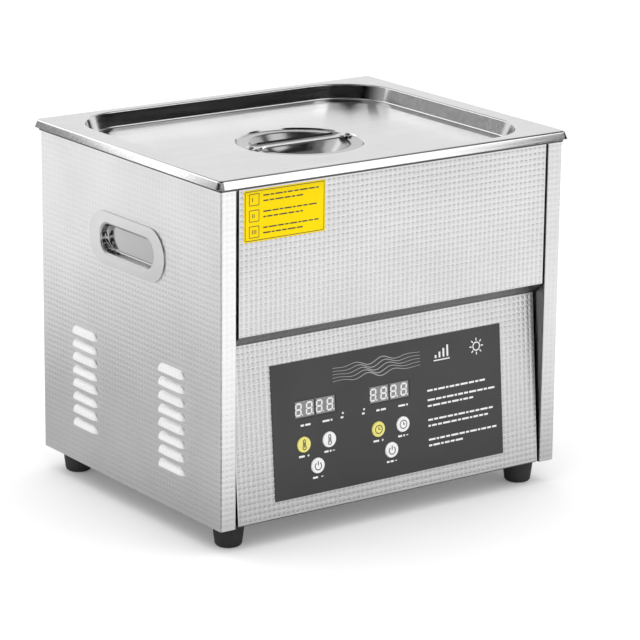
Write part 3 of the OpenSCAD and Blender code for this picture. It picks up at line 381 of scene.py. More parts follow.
def bent_face(path, radii, shift):
    """One face of a bent sheet, and the number of the path's corner that each point belongs to.

    The path is moved `shift` to its left. At corner i, which turns by w, the arc's centre is
    p - r tan(|w|/2) d + r s n, with d and n along and across the path and s the sign of w, and the arc's
    points are the centre plus (shift - r s) times n turned by 0 to w."""
    p, r = np.asarray(path, float), np.asarray(radii, float)[1:-1]
    d = np.diff(p, axis=0)
    d /= np.linalg.norm(d, axis=1, keepdims=True)
    n = np.stack([-d[:, 1], d[:, 0]], axis=1)
    w = np.arctan2(d[:-1, 0] * d[1:, 1] - d[:-1, 1] * d[1:, 0], (d[:-1] * d[1:]).sum(axis=1))
    bend = r * np.sign(w)
    centre = p[1:-1] - (r * np.tan(abs(w) / 2))[:, None] * d[:-1] + bend[:, None] * n[:-1]
    a = w[:, None] * np.linspace(0, 1, FOLD_STEPS + 1)
    turned = np.stack([n[:-1, :1] * np.cos(a) - n[:-1, 1:] * np.sin(a),
                       n[:-1, :1] * np.sin(a) + n[:-1, 1:] * np.cos(a)], axis=-1)
    arcs = centre[:, None] + (shift - bend)[:, None, None] * turned
    line = np.concatenate([[p[0] + shift * n[0]], arcs.reshape(-1, 2), [p[-1] + shift * n[-1]]])
    corner = np.concatenate([[0], np.repeat(np.arange(1, len(p) - 1), FOLD_STEPS + 1), [len(p) - 1]])
    return line, corner


def sheet_section(path, radii, thick):
    """A sheet's closed section: the path's own face outwards, and the face `thick` to its right back."""
    (top, top_corner), (under, under_corner) = bent_face(path, radii, 0), bent_face(path, radii, -thick)
    return np.concatenate([top, under[::-1]]), np.concatenate([top_corner, under_corner[::-1]])


print("a fold has", FOLD_STEPS + 1, "points on each face")

# %% Rings and lofts
CORNER_STEPS, EDGE_STEPS = 14, 10


def rounded_ring(half_x, half_y, r):
    """Rounded rectangles, one per row: an arc of radius r in each corner and even steps along each edge."""
    half_x, half_y, r = (np.atleast_1d(np.asarray(v, float))[:, None, None] for v in (half_x, half_y, r))
    quarter = np.arange(4)[None, :, None]
    a = np.pi / 2 * (quarter + np.linspace(0, 1, CORNER_STEPS + 1)[None, None])
    side_x, side_y = np.where(quarter % 3 == 0, 1, -1), np.where(quarter < 2, 1, -1)
    arcs = np.stack([side_x * (half_x - r) + r * np.cos(a), side_y * (half_y - r) + r * np.sin(a)], axis=-1)
    share = np.linspace(0, 1, EDGE_STEPS + 1)[1:-1][None, None, :, None]
    edges = arcs[:, :, -1:] * (1 - share) + np.roll(arcs, -1, axis=1)[:, :, :1] * share
    return np.concatenate([arcs, edges], axis=2).reshape(len(half_x), -1, 2)


def loft(rows, wrap=False):
    """Points and faces of rows of closed rings: quad (i, j) joins rows i and i + 1 and points j and j + 1.

    With wrap the last row joins the first; otherwise the first and the last ring are closed by a face."""
    rows = np.asarray(rows, float)
    m, n = rows.shape[:2]
    i, j = np.arange(m if wrap else m - 1)[:, None], np.arange(n)[None]
    near, far, nxt = i * n, (i + 1) % m * n, (j + 1) % n
    quads = np.stack([near + j, near + nxt, far + nxt, far + j], axis=-1).reshape(-1, 4).tolist()
    ends = [] if wrap else [list(range(n))[::-1], list(range((m - 1) * n, m * n))]
    return rows.reshape(-1, 3), quads + ends


def moved(lofts, step):
    """Lofts moved by one step (x, y, z)."""
    return [(points + step, faces) for points, faces in lofts]


print("a ring has", rounded_ring(2, 2, 1).shape[1], "points")

# %% Pieces
SAME_POINT, SHARP_FROM, FLAT_WEIGHT = 1e-7, math.radians(32), 80


def new_piece(name, parts, material, body, stands_for=()):
    """One object from lofts in millimetres, merged and turned outwards, riding on its body."""
    starts = np.cumsum([0] + [len(points) for points, _ in parts])
    faces = [[k + start for k in face] for start, (_, part) in zip(starts, parts) for face in part]
    mesh = bpy.data.meshes.new(name)
    mesh.from_pydata(np.concatenate([points for points, _ in parts]) * MM, [], faces)
    work = bmesh.new()
    work.from_mesh(mesh)
    bmesh.ops.remove_doubles(work, verts=work.verts, dist=SAME_POINT)
    bmesh.ops.recalc_face_normals(work, faces=work.faces)
    work.to_mesh(mesh)
    work.free()
    mesh.polygons.foreach_set("use_smooth", np.ones(len(mesh.polygons), bool))
    mesh.set_sharp_from_angle(angle=SHARP_FROM)
    mesh.materials.append(material)
    piece = bpy.data.objects.new(name, mesh)
    scene.collection.objects.link(piece)
    flats = piece.modifiers.new("flat_faces_stay_flat", "WEIGHTED_NORMAL")
    flats.mode, flats.weight, flats.keep_sharp = "FACE_AREA", FLAT_WEIGHT, True
    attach(piece, body)
    if stands_for:
        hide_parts(*stands_for)
    print(name, len(mesh.polygons), "faces")
    return piece


print("edges are sharp from", round(math.degrees(SHARP_FROM)), "degrees")

# %% A drawn sheet
LEAST_RADIUS = 0.3


def drawn_sheet(path_x, path_y, radii, corner_r, thick, hole=None):
    """A pan drawn from one sheet: its section follows path_x across the width and path_y across the depth.

    The plan radius at each point is its corner's radius plus the point's own step outwards. A hole
    (x, y, ((radius, level), ...)) in the floor is a row of rings from its rim outwards, each with its level
    above the floor. Their points lie on the rays from the hole's middle to the floor's first ring."""
    across_x, corner = sheet_section(path_x, radii, thick)
    across_y, _ = sheet_section(path_y, radii, thick)
    r = np.asarray(corner_r, float)[corner] + across_x[:, 0] - np.asarray(path_x, float)[corner, 0]
    plan = rounded_ring(across_x[:, 0], across_y[:, 0], np.clip(r, LEAST_RADIUS, None))
    z = np.broadcast_to(across_x[:, 1, None, None], (*plan.shape[:2], 1))
    rows = np.concatenate([plan, z], axis=2)
    if hole is None:
        return loft(rows)
    ray = rows[[0, -1]] - [*hole[:2], 0]
    ray[..., :2] /= np.linalg.norm(ray[..., :2], axis=-1, keepdims=True)
    rings = np.stack([ray * [radius, radius, 1] + [*hole[:2], level] for radius, level in hole[2]])
    return loft(np.concatenate([rings[:, 0], rows, rings[::-1, 1]]), wrap=True)


print("plan corners keep a radius of", LEAST_RADIUS, "mm or more")

# %% [markdown]
# ## Lid
# The lid has a flat brim, a skirt that slopes outwards and a sunk pan. The pan's steep wall ends in a
# broad sloped foot, which is the band that shows as a grey frame round the floor. All of it is one section,
# so every fold runs round the corners without a seam. The handle cup hangs in a hole in the floor: its ring
# flange lies in a shallow seat, which is a few more rings of the same grid.

# %% Lid cover
TOP, SHEET = 285.0, 1.0
PAN_DEPTH = 13.2
PAN_FLOOR = TOP - PAN_DEPTH
PAN_WALL, PAN_DRAFT, PAN_FOOT, PAN_MARGIN, PAN_CORNER = 12.0, math.radians(16), 6.0, 10.0, 48.0
PAN_RUN = PAN_WALL * math.tan(PAN_DRAFT)
SKIRT_FLARE, SKIRT_HEIGHT, SKIRT_CORNER = 2.8, 6.0, 6.0
PAN_HALF, LID_HALF = (143.0, 119.5), (162.5, 132.5)
LID_FOLDS = (0, 3, 1.5, 1.3, 2.4, 0)
CUP_R, CUP_PLAY = 40.0, 2.0
RING_R, RING_PLAY, SEAT, SEAT_SLOPE = 49.0, 0.05, 2.0, 1.5


def lid_path(pan, lid):
    """The lid's section from the pan's floor to the skirt's edge, for a half-size of pan and lid."""
    return [(pan - PAN_RUN - PAN_FOOT - PAN_MARGIN, PAN_FLOOR), (pan - PAN_RUN - PAN_FOOT, PAN_FLOOR),
            (pan - PAN_RUN, TOP - PAN_WALL), (pan, TOP), (lid - SKIRT_FLARE, TOP), (lid, TOP - SKIRT_HEIGHT)]


path_x, path_y = (lid_path(pan, lid) for pan, lid in zip(PAN_HALF, LID_HALF))
corner_r = [PAN_CORNER + x - PAN_HALF[0] for x, _ in path_x[:4]]
corner_r += [SKIRT_CORNER + x - LID_HALF[0] for x, _ in path_x[4:]]
seat = ((CUP_R + CUP_PLAY, -SEAT), (RING_R + RING_PLAY, -SEAT), (RING_R + SEAT_SLOPE, 0))
lid = drawn_sheet(path_x, path_y, LID_FOLDS, corner_r, SHEET, hole=(0, 0, seat))
new_piece("lid_pressing", [lid], finishes["lid_steel"], "lid", ["lid_cover"])

# %% [markdown]
# ## Handle
# The cup is round, so its section is turned round the middle. The strap is a channel with turned-up edges
# that flatten under the rivets at both ends. It could be a bent box, but a section that changes along the
# path gives the fading edges and the round ends in one go.

# %% Handle cup
RING_TOP, CUP_DEPTH, CUP_SLOPE, CUP_FOLDS = PAN_FLOOR + SHEET - SEAT, 17.0, 12.0, (0, 14, 2.2, 0)


def revolved(section, turns=96):
    """A section of points (r, z) carried round the z axis: (r cos a, r sin a, z)."""
    a = np.linspace(0, 2 * np.pi, turns, endpoint=False)[None]
    r, z = section[:, :1], section[:, 1:]
    return np.stack([r * np.cos(a), r * np.sin(a), np.broadcast_to(z, (len(section), turns))], axis=-1)


cup_floor = RING_TOP - CUP_DEPTH
cup_path = [(0, cup_floor), (CUP_R - CUP_SLOPE, cup_floor), (CUP_R, RING_TOP), (RING_R, RING_TOP)]
cup, _ = sheet_section(cup_path, CUP_FOLDS, SHEET)
new_piece("handle_cup", [loft(revolved(cup))], finishes["cup_steel"], "lid", ["lid_handle_cup"])

# %% Handle strap
STRAP_HALF, STRAP_SHEET, STRAP_EDGE, EDGE_RUN, EDGE_FOLD = 6.5, 1.2, 1.6, 1.8, 1.4
FLAT_FROM, END, LEAST_EDGE, STRAP_STEPS = 43.0, 7.0, 0.03, 33


def strap_section(edge):
    """The strap's closed section (y, z) with its two long edges turned up by `edge`."""
    path = [(-STRAP_HALF, edge + STRAP_SHEET), (EDGE_RUN - STRAP_HALF, STRAP_SHEET),
            (STRAP_HALF - EDGE_RUN, STRAP_SHEET), (STRAP_HALF, edge + STRAP_SHEET)]
    return sheet_section(path, (0, EDGE_FOLD, EDGE_FOLD, 0), STRAP_SHEET)[0]


# The turned-up edges sink into the flat ends from |x| = 36 to 43, and each end is round in plan.
run = RING_R * np.sin(np.linspace(-np.pi / 2, np.pi / 2, STRAP_STEPS))[1:-1, None]
turned_up = np.clip((FLAT_FROM - abs(run)) / END, LEAST_EDGE, 1)[..., None]
narrow = np.sqrt(1 - (np.clip(abs(run) - (RING_R - END), 0, None) / END) ** 2)
strap = strap_section(0.0) * (1 - turned_up) + strap_section(STRAP_EDGE) * turned_up
strap_rows = np.stack([run + 0 * strap[..., 0], narrow * strap[..., 0], strap[..., 1] + RING_TOP], axis=-1)
new_piece("handle_strap", [loft(strap_rows)], finishes["lid_steel"], "lid",
          ["lid_handle_strap"])

# %% Handle rivets
# A rivet's section (r, z) runs from the domed head over the shank to the closed head under the lid's floor.
RIVET_X, RIVET_TURNS = 45.5, 24
RIVET = np.array([(0, 1.2), (1.2, 1.05), (2.2, 0.6), (2.8, 0), (1.5, 0), (1.5, -3.4), (2.4, -3.4),
                  (2.4, -4.2), (0, -4.2)])
rivets = []
for side in (-1, 1):
    rivets += moved([loft(revolved(RIVET, RIVET_TURNS))], (side * RIVET_X, 0, RING_TOP + STRAP_SHEET))
new_piece("handle_rivets", rivets, finishes["lid_steel"], "lid", ["lid_handle_rivets"])

# %% [markdown]
# ## Tank and grips
# The tank is drawn 150 mm deep with a flange that turns down over the casing. Towards the mouth its front
# and back walls flare, to leave room for the lid's pan. Its floor has the drain's hole. The two grips are
# shallow stadium pans with a flat bezel. They could be cut from solids, but the drawn sheet with other paths
# gives both their thin walls and their soft folds.

# %% Tank
HALF_W, HALF_D = 158.0, 128.0
TANK_HALF, TANK_MOUTH, TANK_DEPTH, TANK_CORNER = (147.0, 112.0), (147.0, 121.3), 150.0, 30.0
LID_GAP, LIP_GAP, LIP_HEIGHT, LIP_CORNER = 0.1, 0.1, 7.5, 2.9
FLANGE, FLARE_FROM, FLOOR_EDGE = TOP - SHEET - LID_GAP, 238.0, 24.0
TANK_FOLDS = (0, 12, 0, 3, 1.05, 0)
DRAIN_AT, DRAIN_R = (115.0, 89.5), 6.15


def tank_path(tank, mouth, casing):
    """The tank's section from its floor, up the wall and its flare, over the flange to the lip's edge."""
    floor, lip = FLANGE - TANK_DEPTH, casing + LIP_GAP + SHEET
    return [(tank - FLOOR_EDGE, floor), (tank, floor), (tank, FLARE_FROM), (mouth, FLANGE), (lip, FLANGE),
            (lip, FLANGE - LIP_HEIGHT)]


path_x, path_y = (tank_path(*sizes) for sizes in zip(TANK_HALF, TANK_MOUTH, (HALF_W, HALF_D)))
corner_r = [TANK_CORNER + x - TANK_HALF[0] for x, _ in path_x[:4]] + [LIP_CORNER, LIP_CORNER]
tank = drawn_sheet(path_x, path_y, TANK_FOLDS, corner_r, SHEET, hole=(*DRAIN_AT, ((DRAIN_R, 0),)))
new_piece("tank_pressing", [tank], finishes["tank_steel"], "cabinet", ["tank"])

# %% Grips
GRIP_HALF, GRIP_DEPTH, BEZEL = (37.5, 11.0), 7.0, (15.5, 10.0)
GRIP_DROP, GRIP_FLOOR_EDGE, GRIP_FOLDS = 75.0, 8.0, (0, 3, 2.2, 0)


def grip_path(opening, bezel):
    """A grip's section from its floor over the bezel."""
    return [(opening - GRIP_FLOOR_EDGE, -GRIP_DEPTH), (opening, -GRIP_DEPTH), (opening, 0),
            (opening + bezel, 0)]


path_x, path_y = (grip_path(opening, bezel) for opening, bezel in zip(GRIP_HALF, BEZEL))
corner_r = [GRIP_HALF[1] + x - GRIP_HALF[0] for x, _ in path_x[:3]] + [GRIP_HALF[1] + BEZEL[1]]
points, faces = drawn_sheet(path_x, path_y, GRIP_FOLDS, corner_r, SHEET)
for side, sign in (("left", -1), ("right", 1)):
    outwards = HALF_W + SHEET + points[:, 2]
    placed = np.stack([sign * outwards, sign * points[:, 0], TOP - GRIP_DROP + points[:, 1]], axis=1)
    new_piece(f"grip_{side}", [(placed, faces)], finishes["grip_steel"], "cabinet",
              [f"handle_recess_{side}"])

# %% [markdown]
# ## Control panel
# The panel is a dark film with printing, over four displays and six keys. Printing could be a pattern in the
# film's material, but thin raised shapes stay sharp from any distance and are meshes of their own. A
# printed line is a flat bar that follows a path, and a plate is an outline with a height. All marks are
# generic: ruled lines, a scale of bars, a sun, waves, and plain signs on the keys.

# %% The panel's own frame
FILM, FRONT_Y, SHEET_Z = 0.5, -127.5, 255.0
press = next(j for j in frame["joints"] if j["name"] == "key_temp_up_press")
face_out = -np.array(press["axis"], float)
face_right = np.array([1.0, 0, 0])
face_up = np.cross(face_out, face_right)
low, high = (np.array(corner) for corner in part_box("panel_overlay"))
panel = ((low + high) / 2 / MM + face_out * FILM / 2, np.array([face_right, face_up, face_out]))
front = (np.array([0, FRONT_Y, SHEET_Z]), np.array([[1.0, 0, 0], [0, 0, 1.0], [0, -1.0, 0]]))


def placed_on(plane, shapes, lift=0.0):
    """Moves lofts from a plane's own x, y, height to the model's millimetres."""
    origin, axes = plane
    return [(origin + (points + [0, 0, lift]) @ axes, faces) for points, faces in shapes]


def measured_on(plane, node):
    """A node's lowest and highest corners in a plane's own x, y, height."""
    mesh = frame["nodes"][node].data
    points = np.empty(len(mesh.vertices) * 3)
    mesh.vertices.foreach_get("co", points)
    own = (points.reshape(-1, 3) / MM - plane[0]) @ plane[1].T
    return own.min(axis=0), own.max(axis=0)


print("panel leans back", round(math.degrees(math.asin(face_out[2])), 2), "degrees")

# %% Printed lines and plates
INK = 0.05


def stroke(path, width, closed=False):
    """A printed line: a rectangle of this width and the ink's height carried along a path of points (x, y).

    Each point's two sides lie half the width across the step from its neighbour before to the one after."""
    p = np.asarray(path, float)
    step = np.roll(p, -1, axis=0) - np.roll(p, 1, axis=0) if closed else np.gradient(p, axis=0)
    half = np.stack([-step[:, 1], step[:, 0]], axis=1)
    half *= np.broadcast_to(width, len(p))[:, None] / 2 / np.linalg.norm(half, axis=1, keepdims=True)
    edges = ((p + half, -INK), (p - half, -INK), (p - half, INK), (p + half, INK))
    rows = np.stack([np.column_stack([line, np.full(len(p), z)]) for line, z in edges], axis=1)
    return loft(rows, wrap=closed)


def bar(x0, y0, x1, y1, width):
    """A straight printed line."""
    return stroke([(x0, y0), (x1, y1)], width)


def arc(x, y, r, start, stop, width, steps=40):
    """A printed arc in degrees, closed when it goes all the way round."""
    closed = stop - start >= 360
    a = np.radians(np.linspace(start, stop, steps, endpoint=not closed))
    return stroke(np.column_stack([x + r * np.cos(a), y + r * np.sin(a)]), width, closed)


def plate(outline, height=INK):
    """A flat shape: its outline of points (x, y) raised by its height."""
    p = np.asarray(outline, float)
    return loft(np.stack([np.column_stack([p, np.full(len(p), z)]) for z in (-INK, height)]))


def outline_of(x, y, half_x, half_y, r):
    """The rounded rectangle's outline round a middle."""
    return rounded_ring(half_x, half_y, r)[0] + [x, y]


print("ink stands", INK, "mm above the film")

# %% Inks
ink = partial(finish, grain=1500, bump=0.03)
INK_ROUGH = (0.4, 0.5)
white_ink = ink("white_ink", 0.82, 0.9, INK_ROUGH)
grey_ink = ink("grey_ink", 0.34, 0.42, INK_ROUGH)
black_ink = ink("black_ink", 0.02, 0.035, INK_ROUGH)
segment_glass = ink("segment_glass", 0.76, 0.84, (0.2, 0.3), bump=0.02)
yellow_film = ink("yellow_film", (0.96, 0.7, 0.0), (0.98, 0.74, 0.0), INK_ROUGH, bump=0.04,
                  specular_ior_level=0.1)
print("inks:", [paint.name for paint in (white_ink, grey_ink, black_ink, segment_glass, yellow_film)])

# %% Seven-segment displays
DIGIT_W, DIGIT_H, DIGIT_STEP, DIGITS_LEFT = 4.7, 8.7, 9.8, 0.7
SEGMENT, SEGMENT_GAP, SLANT = 1.35, 0.15, math.tan(math.radians(4))
POINT_STEP, POINT_HALF, POINT_R = 1.4, 0.6, 0.55
EDGE, EDGE_R = 0.8, 0.6
LYING, UPRIGHT = ((0, 1), (0, 0), (0, -1)), ((-1, 0.5), (1, 0.5), (-1, -0.5), (1, -0.5))


def segments(x):
    """One unlit digit and its point: seven pointed bars, each moved along x by its height times the slant.

    A bar's place is in half widths and half heights of the digit."""
    tip = np.array([(-1, 0), (-1, 1), (1, 1), (1, 0), (1, -1), (-1, -1)], float)
    inset = np.array([0, 1, 1, 0, 1, 1])[:, None]
    shapes = []
    for places, length, order in ((LYING, DIGIT_W, 1), (UPRIGHT, DIGIT_H / 2, -1)):
        half = length / 2 - SEGMENT_GAP
        hexagon = (tip * [half, SEGMENT / 2] - inset * tip * [SEGMENT / 2, 0])[:, ::order]
        shapes += [hexagon + [cx * DIGIT_W / 2, cy * DIGIT_H / 2] for cx, cy in places]
    shapes.append(outline_of(DIGIT_W / 2 + POINT_STEP, -DIGIT_H / 2, POINT_HALF, POINT_HALF, POINT_R))
    return [plate(shape + np.outer(shape[:, 1], [SLANT, 0]) + [x, 0]) for shape in shapes]


for node in ("display_set_temp", "display_actual_temp", "display_minutes", "display_seconds"):
    low, high = measured_on(panel, node)
    middle = (low + high) / 2
    digits = segments(-DIGIT_STEP / 2 - DIGITS_LEFT) + segments(DIGIT_STEP / 2 - DIGITS_LEFT)
    digits = placed_on(panel, moved(digits, [middle[0], middle[1], high[2]]))
    new_piece(node.replace("display", "digits"), digits, segment_glass, "cabinet")
    half = (high - low) / 2 - EDGE / 2
    edge = stroke(outline_of(middle[0], middle[1], half[0], half[1], EDGE_R), EDGE, closed=True)
    edge = placed_on(panel, moved([edge], [0, 0, high[2]]))
    new_piece(node.replace("display", "display_edge"), edge, black_ink, "cabinet")

# %% Key marks
# The places are millimetres from the key's middle.
MARK, BOLD_MARK = 0.65, 0.75


def thermometer():
    """A tube with a round bulb."""
    tube = [bar(side * 0.9, -1.2, side * 0.9, 3.0, MARK) for side in (-1, 1)]
    bulb = [arc(0, 3.0, 0.9, 0, 180, MARK), arc(0, -2.3, 1.5, 126, 414, MARK)]
    return tube + bulb + [bar(0, -2.3, 0, 1.8, MARK)]


def clock():
    """A ring with two hands."""
    return [arc(0, 0, 3.2, 0, 360, MARK), bar(0, -0.3, 0, 2.1, MARK), bar(-0.3, 0, 1.7, 0, MARK)]


def power():
    """A broken ring with a bar in the gap."""
    return [arc(0, -0.4, 2.9, 125, 415, BOLD_MARK), bar(0, 0.2, 0, 3.5, BOLD_MARK)]


marks = {"temp_up": thermometer, "temp_down": thermometer, "heat_power": power,
         "time_up": clock, "time_down": clock, "clean_power": power}
key_at = {}
for key, mark in marks.items():
    low, high = measured_on(panel, f"key_{key}")
    key_at[key] = (low[:2] + high[:2]) / 2
    shapes = placed_on(panel, moved(mark(), [*key_at[key], high[2]]))
    new_piece(f"mark_{key}", shapes, black_ink, f"key_{key}")

# %% Ruled lines under the keys, the displays and the lamps
LABEL, THIN, DASH_GAP, LEAST_DASH = 1.5, 0.6, 1.1, 1.0
DASHES, CYCLES = (5.2, 3.1, 6.4, 2.4, 4.6, 3.8, 7.0), 8
KEY_LABEL, KEY_LABEL_X, SIGN_X, SIGN_HALF = -9.0, (-4.8, 1.6), 3.8, 1.0
DISPLAY_X, DISPLAY_LABEL, DISPLAY_HALF = (-78.3, -58.3, -8.3, 12.5), 2.4, 4.5
LAMPS, LAMP_LABEL, LAMP_HALF, LAMP_TURN = ((-44.0, 5.8), (-24.2, 5.4)), -3.2, 2.0, 4


def dashes(x0, x1, y, height, turn=0):
    """A ruled line of short dashes, their lengths from a fixed cycle that is turned by some places."""
    lengths = np.tile(np.roll(DASHES, turn), CYCLES)
    starts = x0 + np.concatenate([[0], np.cumsum(lengths + DASH_GAP)])[:-1]
    stops = np.minimum(starts + lengths, x1)
    return [bar(a, y, b, y, height) for a, b in zip(starts, stops) if b - a > LEAST_DASH]


printing = []
for key, (x, y) in key_at.items():
    row, sign_x = y + KEY_LABEL, x + SIGN_X
    printing += dashes(x + KEY_LABEL_X[0], x + KEY_LABEL_X[1], row, LABEL, len(key))
    printing.append(bar(sign_x - SIGN_HALF, row, sign_x + SIGN_HALF, row, THIN))
    if key.endswith("up"):
        printing.append(bar(sign_x, row - SIGN_HALF, sign_x, row + SIGN_HALF, THIN))
for x in DISPLAY_X:
    printing += dashes(x - DISPLAY_HALF, x + DISPLAY_HALF, DISPLAY_LABEL, LABEL, int(x))
for x, y in LAMPS:
    printing += dashes(x - LAMP_HALF, x + LAMP_HALF, y + LAMP_LABEL, LABEL, LAMP_TURN)
print("printed so far:", len(printing), "dashes")

# %% Ruled rows, a scale of bars and a sun
ROW_X, ROWS = 36.0, ((9.7, 92), (2.2, 102), (-2.4, 80), (-13.4, 99), (-18, 94), (-29, 102), (-33.6, 70))
SCALE_BARS, SCALE_X, SCALE_Y, SCALE_STEP = 4, 45.0, 34.0, 3.8
SCALE_LOW, SCALE_RISE, SCALE_WIDTH = 2.4, 2.2, 1.7
BASE_X, BASE_Y = (43.0, 58.5), 32.2
SUN, SUN_R, RAYS, RAY_STEP, SIGN = (84.5, 37.3), 3.2, (4.4, 6.6), 45, 0.9
for turn, (y, x1) in enumerate(ROWS):
    printing += dashes(ROW_X, x1, y, LABEL, turn)
for k in range(SCALE_BARS):
    x = SCALE_X + SCALE_STEP * k
    printing.append(bar(x, SCALE_Y, x, SCALE_Y + SCALE_LOW + SCALE_RISE * k, SCALE_WIDTH))
printing.append(bar(BASE_X[0], BASE_Y, BASE_X[1], BASE_Y, SIGN))
printing.append(arc(*SUN, SUN_R, 0, 360, SIGN))
for turn in np.radians(np.arange(0, 360, RAY_STEP)):
    printing.append(stroke(np.outer(RAYS, [math.cos(turn), math.sin(turn)]) + SUN, SIGN))
new_piece("panel_printing", placed_on(panel, printing), white_ink, "cabinet")

# %% Waves
# A wave's height and its width follow a swell, exp(-((x - middle) / spread)^2), so each line fades at its
# ends.
WAVE_FROM, WAVE_TO, WAVE_STEPS, WAVE_LINES = -52, 30, 160, 5
SWELL_AT, SWELL_SPREAD, WAVE_HEIGHT, WAVE_LENGTH, WAVE_SHIFT = -12, 26, 2.2, 4.2, 0.7
WAVE_Y, LINE_STEP, WAVE_THIN, WAVE_THICKER = 31, 2.6, 0.25, 0.45
x = np.linspace(WAVE_FROM, WAVE_TO, WAVE_STEPS)
swell = np.exp(-(((x - SWELL_AT) / SWELL_SPREAD) ** 2))
waves = []
for k in range(WAVE_LINES):
    y = WAVE_Y + LINE_STEP * k + WAVE_HEIGHT * swell * np.sin(x / WAVE_LENGTH + WAVE_SHIFT * k)
    waves.append(stroke(np.column_stack([x, y]), WAVE_THIN + WAVE_THICKER * swell))
new_piece("panel_waves", placed_on(panel, waves), grey_ink, "cabinet")

# %% Panel lamps
DOME, DOME_TURNS = np.array([(0, 0.45), (0.5, 0.4), (0.85, 0.2), (0.95, -INK), (0, -INK)]), 24
lamps = []
for x, y in LAMPS:
    lamps += moved([loft(revolved(DOME, DOME_TURNS))], [x, y, 0])
new_piece("panel_lamps", placed_on(panel, lamps), segment_glass, "cabinet")

# %% [markdown]
# ## Yellow sheet
# A thin yellow film sheet is stuck to the front. It is a plate like the printing, only larger, with a ruled
# frame and three rows of plain marks: a box with one, two or three strokes, and two dashed lines each.

# %% Yellow sheet
SHEET_MIDDLE, SHEET_HALF, SHEET_R, YELLOW = (-102.0, 0.4), (36.0, 19.5), 1.5, 0.12
FRAME_IN, FRAME_R, RULE = 1.2, 1.0, 0.5
SHEET_ROWS, ROW_STEP, BOX_X, BOX_HALF, BOX_R = 3, 12, 9, 4.2, 0.5
STROKE_X, STROKE_STEP, STROKE_HALF = 7.5, 1.5, 1.5
LINES_X, LINE, LINES = 17, 1.0, ((66, 2.4, 0), (52, -1.6, 3))
outline = outline_of(*SHEET_MIDDLE, *SHEET_HALF, SHEET_R)
new_piece("yellow_sheet", placed_on(front, [plate(outline, YELLOW)]), yellow_film, "cabinet")
left, middle_y = SHEET_MIDDLE[0] - SHEET_HALF[0], SHEET_MIDDLE[1]
frame_half = [half - FRAME_IN for half in SHEET_HALF]
sheet_marks = [stroke(outline_of(*SHEET_MIDDLE, *frame_half, FRAME_R), RULE, closed=True)]
for k in range(SHEET_ROWS):
    y = middle_y + ROW_STEP * (1 - k)
    box = outline_of(left + BOX_X, y, BOX_HALF, BOX_HALF, BOX_R)
    sheet_marks.append(stroke(box, RULE, closed=True))
    for x in left + STROKE_X + STROKE_STEP * np.arange(k + 1):
        sheet_marks.append(bar(x, y - STROKE_HALF, x, y + STROKE_HALF, THIN))
    for stop, above, turn in LINES:
        sheet_marks += dashes(left + LINES_X, left + stop, y + above, LINE, k + turn)
new_piece("yellow_sheet_marks", placed_on(front, sheet_marks, YELLOW), black_ink, "cabinet")

# %% [markdown]
# ## Studio
# Steel shows its surroundings more than its own colour, so a studio for steel is built from what it mirrors.
# The floor is pale and wide, because the casing's sides mirror it. A bright room alone would leave the lid
# white all over, so dark and grey cards stand where its faces look. Only mirrors see them. The front card
# gives the pan's rear wall its black band, and the cards overhead and on the camera's side give the cup its
# dark and grey tones. The left card tones the pan's right wall, and the corner card fades from grey to
# black between the two, so that the pan's corner turns softly. On the bench, a soft shade round the casing
# and at its left is what the sides mirror, and a dark wedge is what the fold at the front left mirrors.

# %% Floor
FLOOR, FLOOR_GREY, FLOOR_GLOW = 8.0, 0.9, 0.12


def stage_mesh(name, points, faces, material):
    """A sheet that belongs to the studio, not to the object."""
    mesh = bpy.data.meshes.new(name)
    mesh.from_pydata(points, [], faces)
    mesh.materials.append(material)
    made = bpy.data.objects.new(name, mesh)
    scene.collection.objects.link(made)
    return made


def seen_directly(tree):
    """A socket that is 1 for rays from the camera, a mirror or a glass, and 0 for the light itself."""
    paths = add(tree, "ShaderNodeLightPath").outputs
    mirrors = sums(tree, "MAXIMUM", paths["Is Camera Ray"], paths["Is Glossy Ray"])
    return sums(tree, "MAXIMUM", mirrors, paths["Is Transmission Ray"])


floor_paint = bpy.data.materials.new("floor_paint")
floor_paint.use_nodes = True
tree = floor_paint.node_tree
tree.nodes.clear()
strength = sums(tree, "MULTIPLY", seen_directly(tree), FLOOR_GLOW)
glow = add(tree, "ShaderNodeEmission", {"Color": (1, 1, 1, 1), "Strength": strength})
paint = add(tree, "ShaderNodeBsdfDiffuse", {"Color": (*tone(FLOOR_GREY), 1)})
both = add(tree, "ShaderNodeAddShader", {0: glow.outputs[0], 1: paint.outputs[0]})
add(tree, "ShaderNodeOutputMaterial", {0: both.outputs[0]})
corners = [(-FLOOR, -FLOOR, 0), (FLOOR, -FLOOR, 0), (FLOOR, FLOOR, 0), (-FLOOR, FLOOR, 0)]
stage_mesh("floor", corners, [range(4)], floor_paint)
print("floor", 2 * FLOOR, "m wide")

# %% Cards
CARD_STEPS, CEILING, FRONT_TOP = 32, 2.1, 1.0


def card_paint(name, level):
    """A dull paint of one grey for a studio card."""
    paint = bpy.data.materials.new(name)
    paint.use_nodes = True
    bsdf = paint.node_tree.nodes["Principled BSDF"]
    bsdf.inputs["Base Color"].default_value = (*tone(level), 1)
    bsdf.inputs["Roughness"].default_value = 1.0
    bsdf.inputs["Specular IOR Level"].default_value = 0.0
    return paint


def studio_card(name, points, quads, paint, blocks=True):
    """A card that only mirrors see. One that blocks also keeps the light behind it out of the mirrors."""
    card = stage_mesh(name, points, quads, paint)
    card.visible_camera = card.visible_diffuse = card.visible_transmission = False
    card.visible_shadow = blocks
    print(name, len(quads), "faces")


def band(steps):
    """The quads between two rows of steps + 1 points each."""
    k = np.arange(steps)
    return np.stack([k, k + 1, k + steps + 2, k + steps + 1], axis=1).tolist()


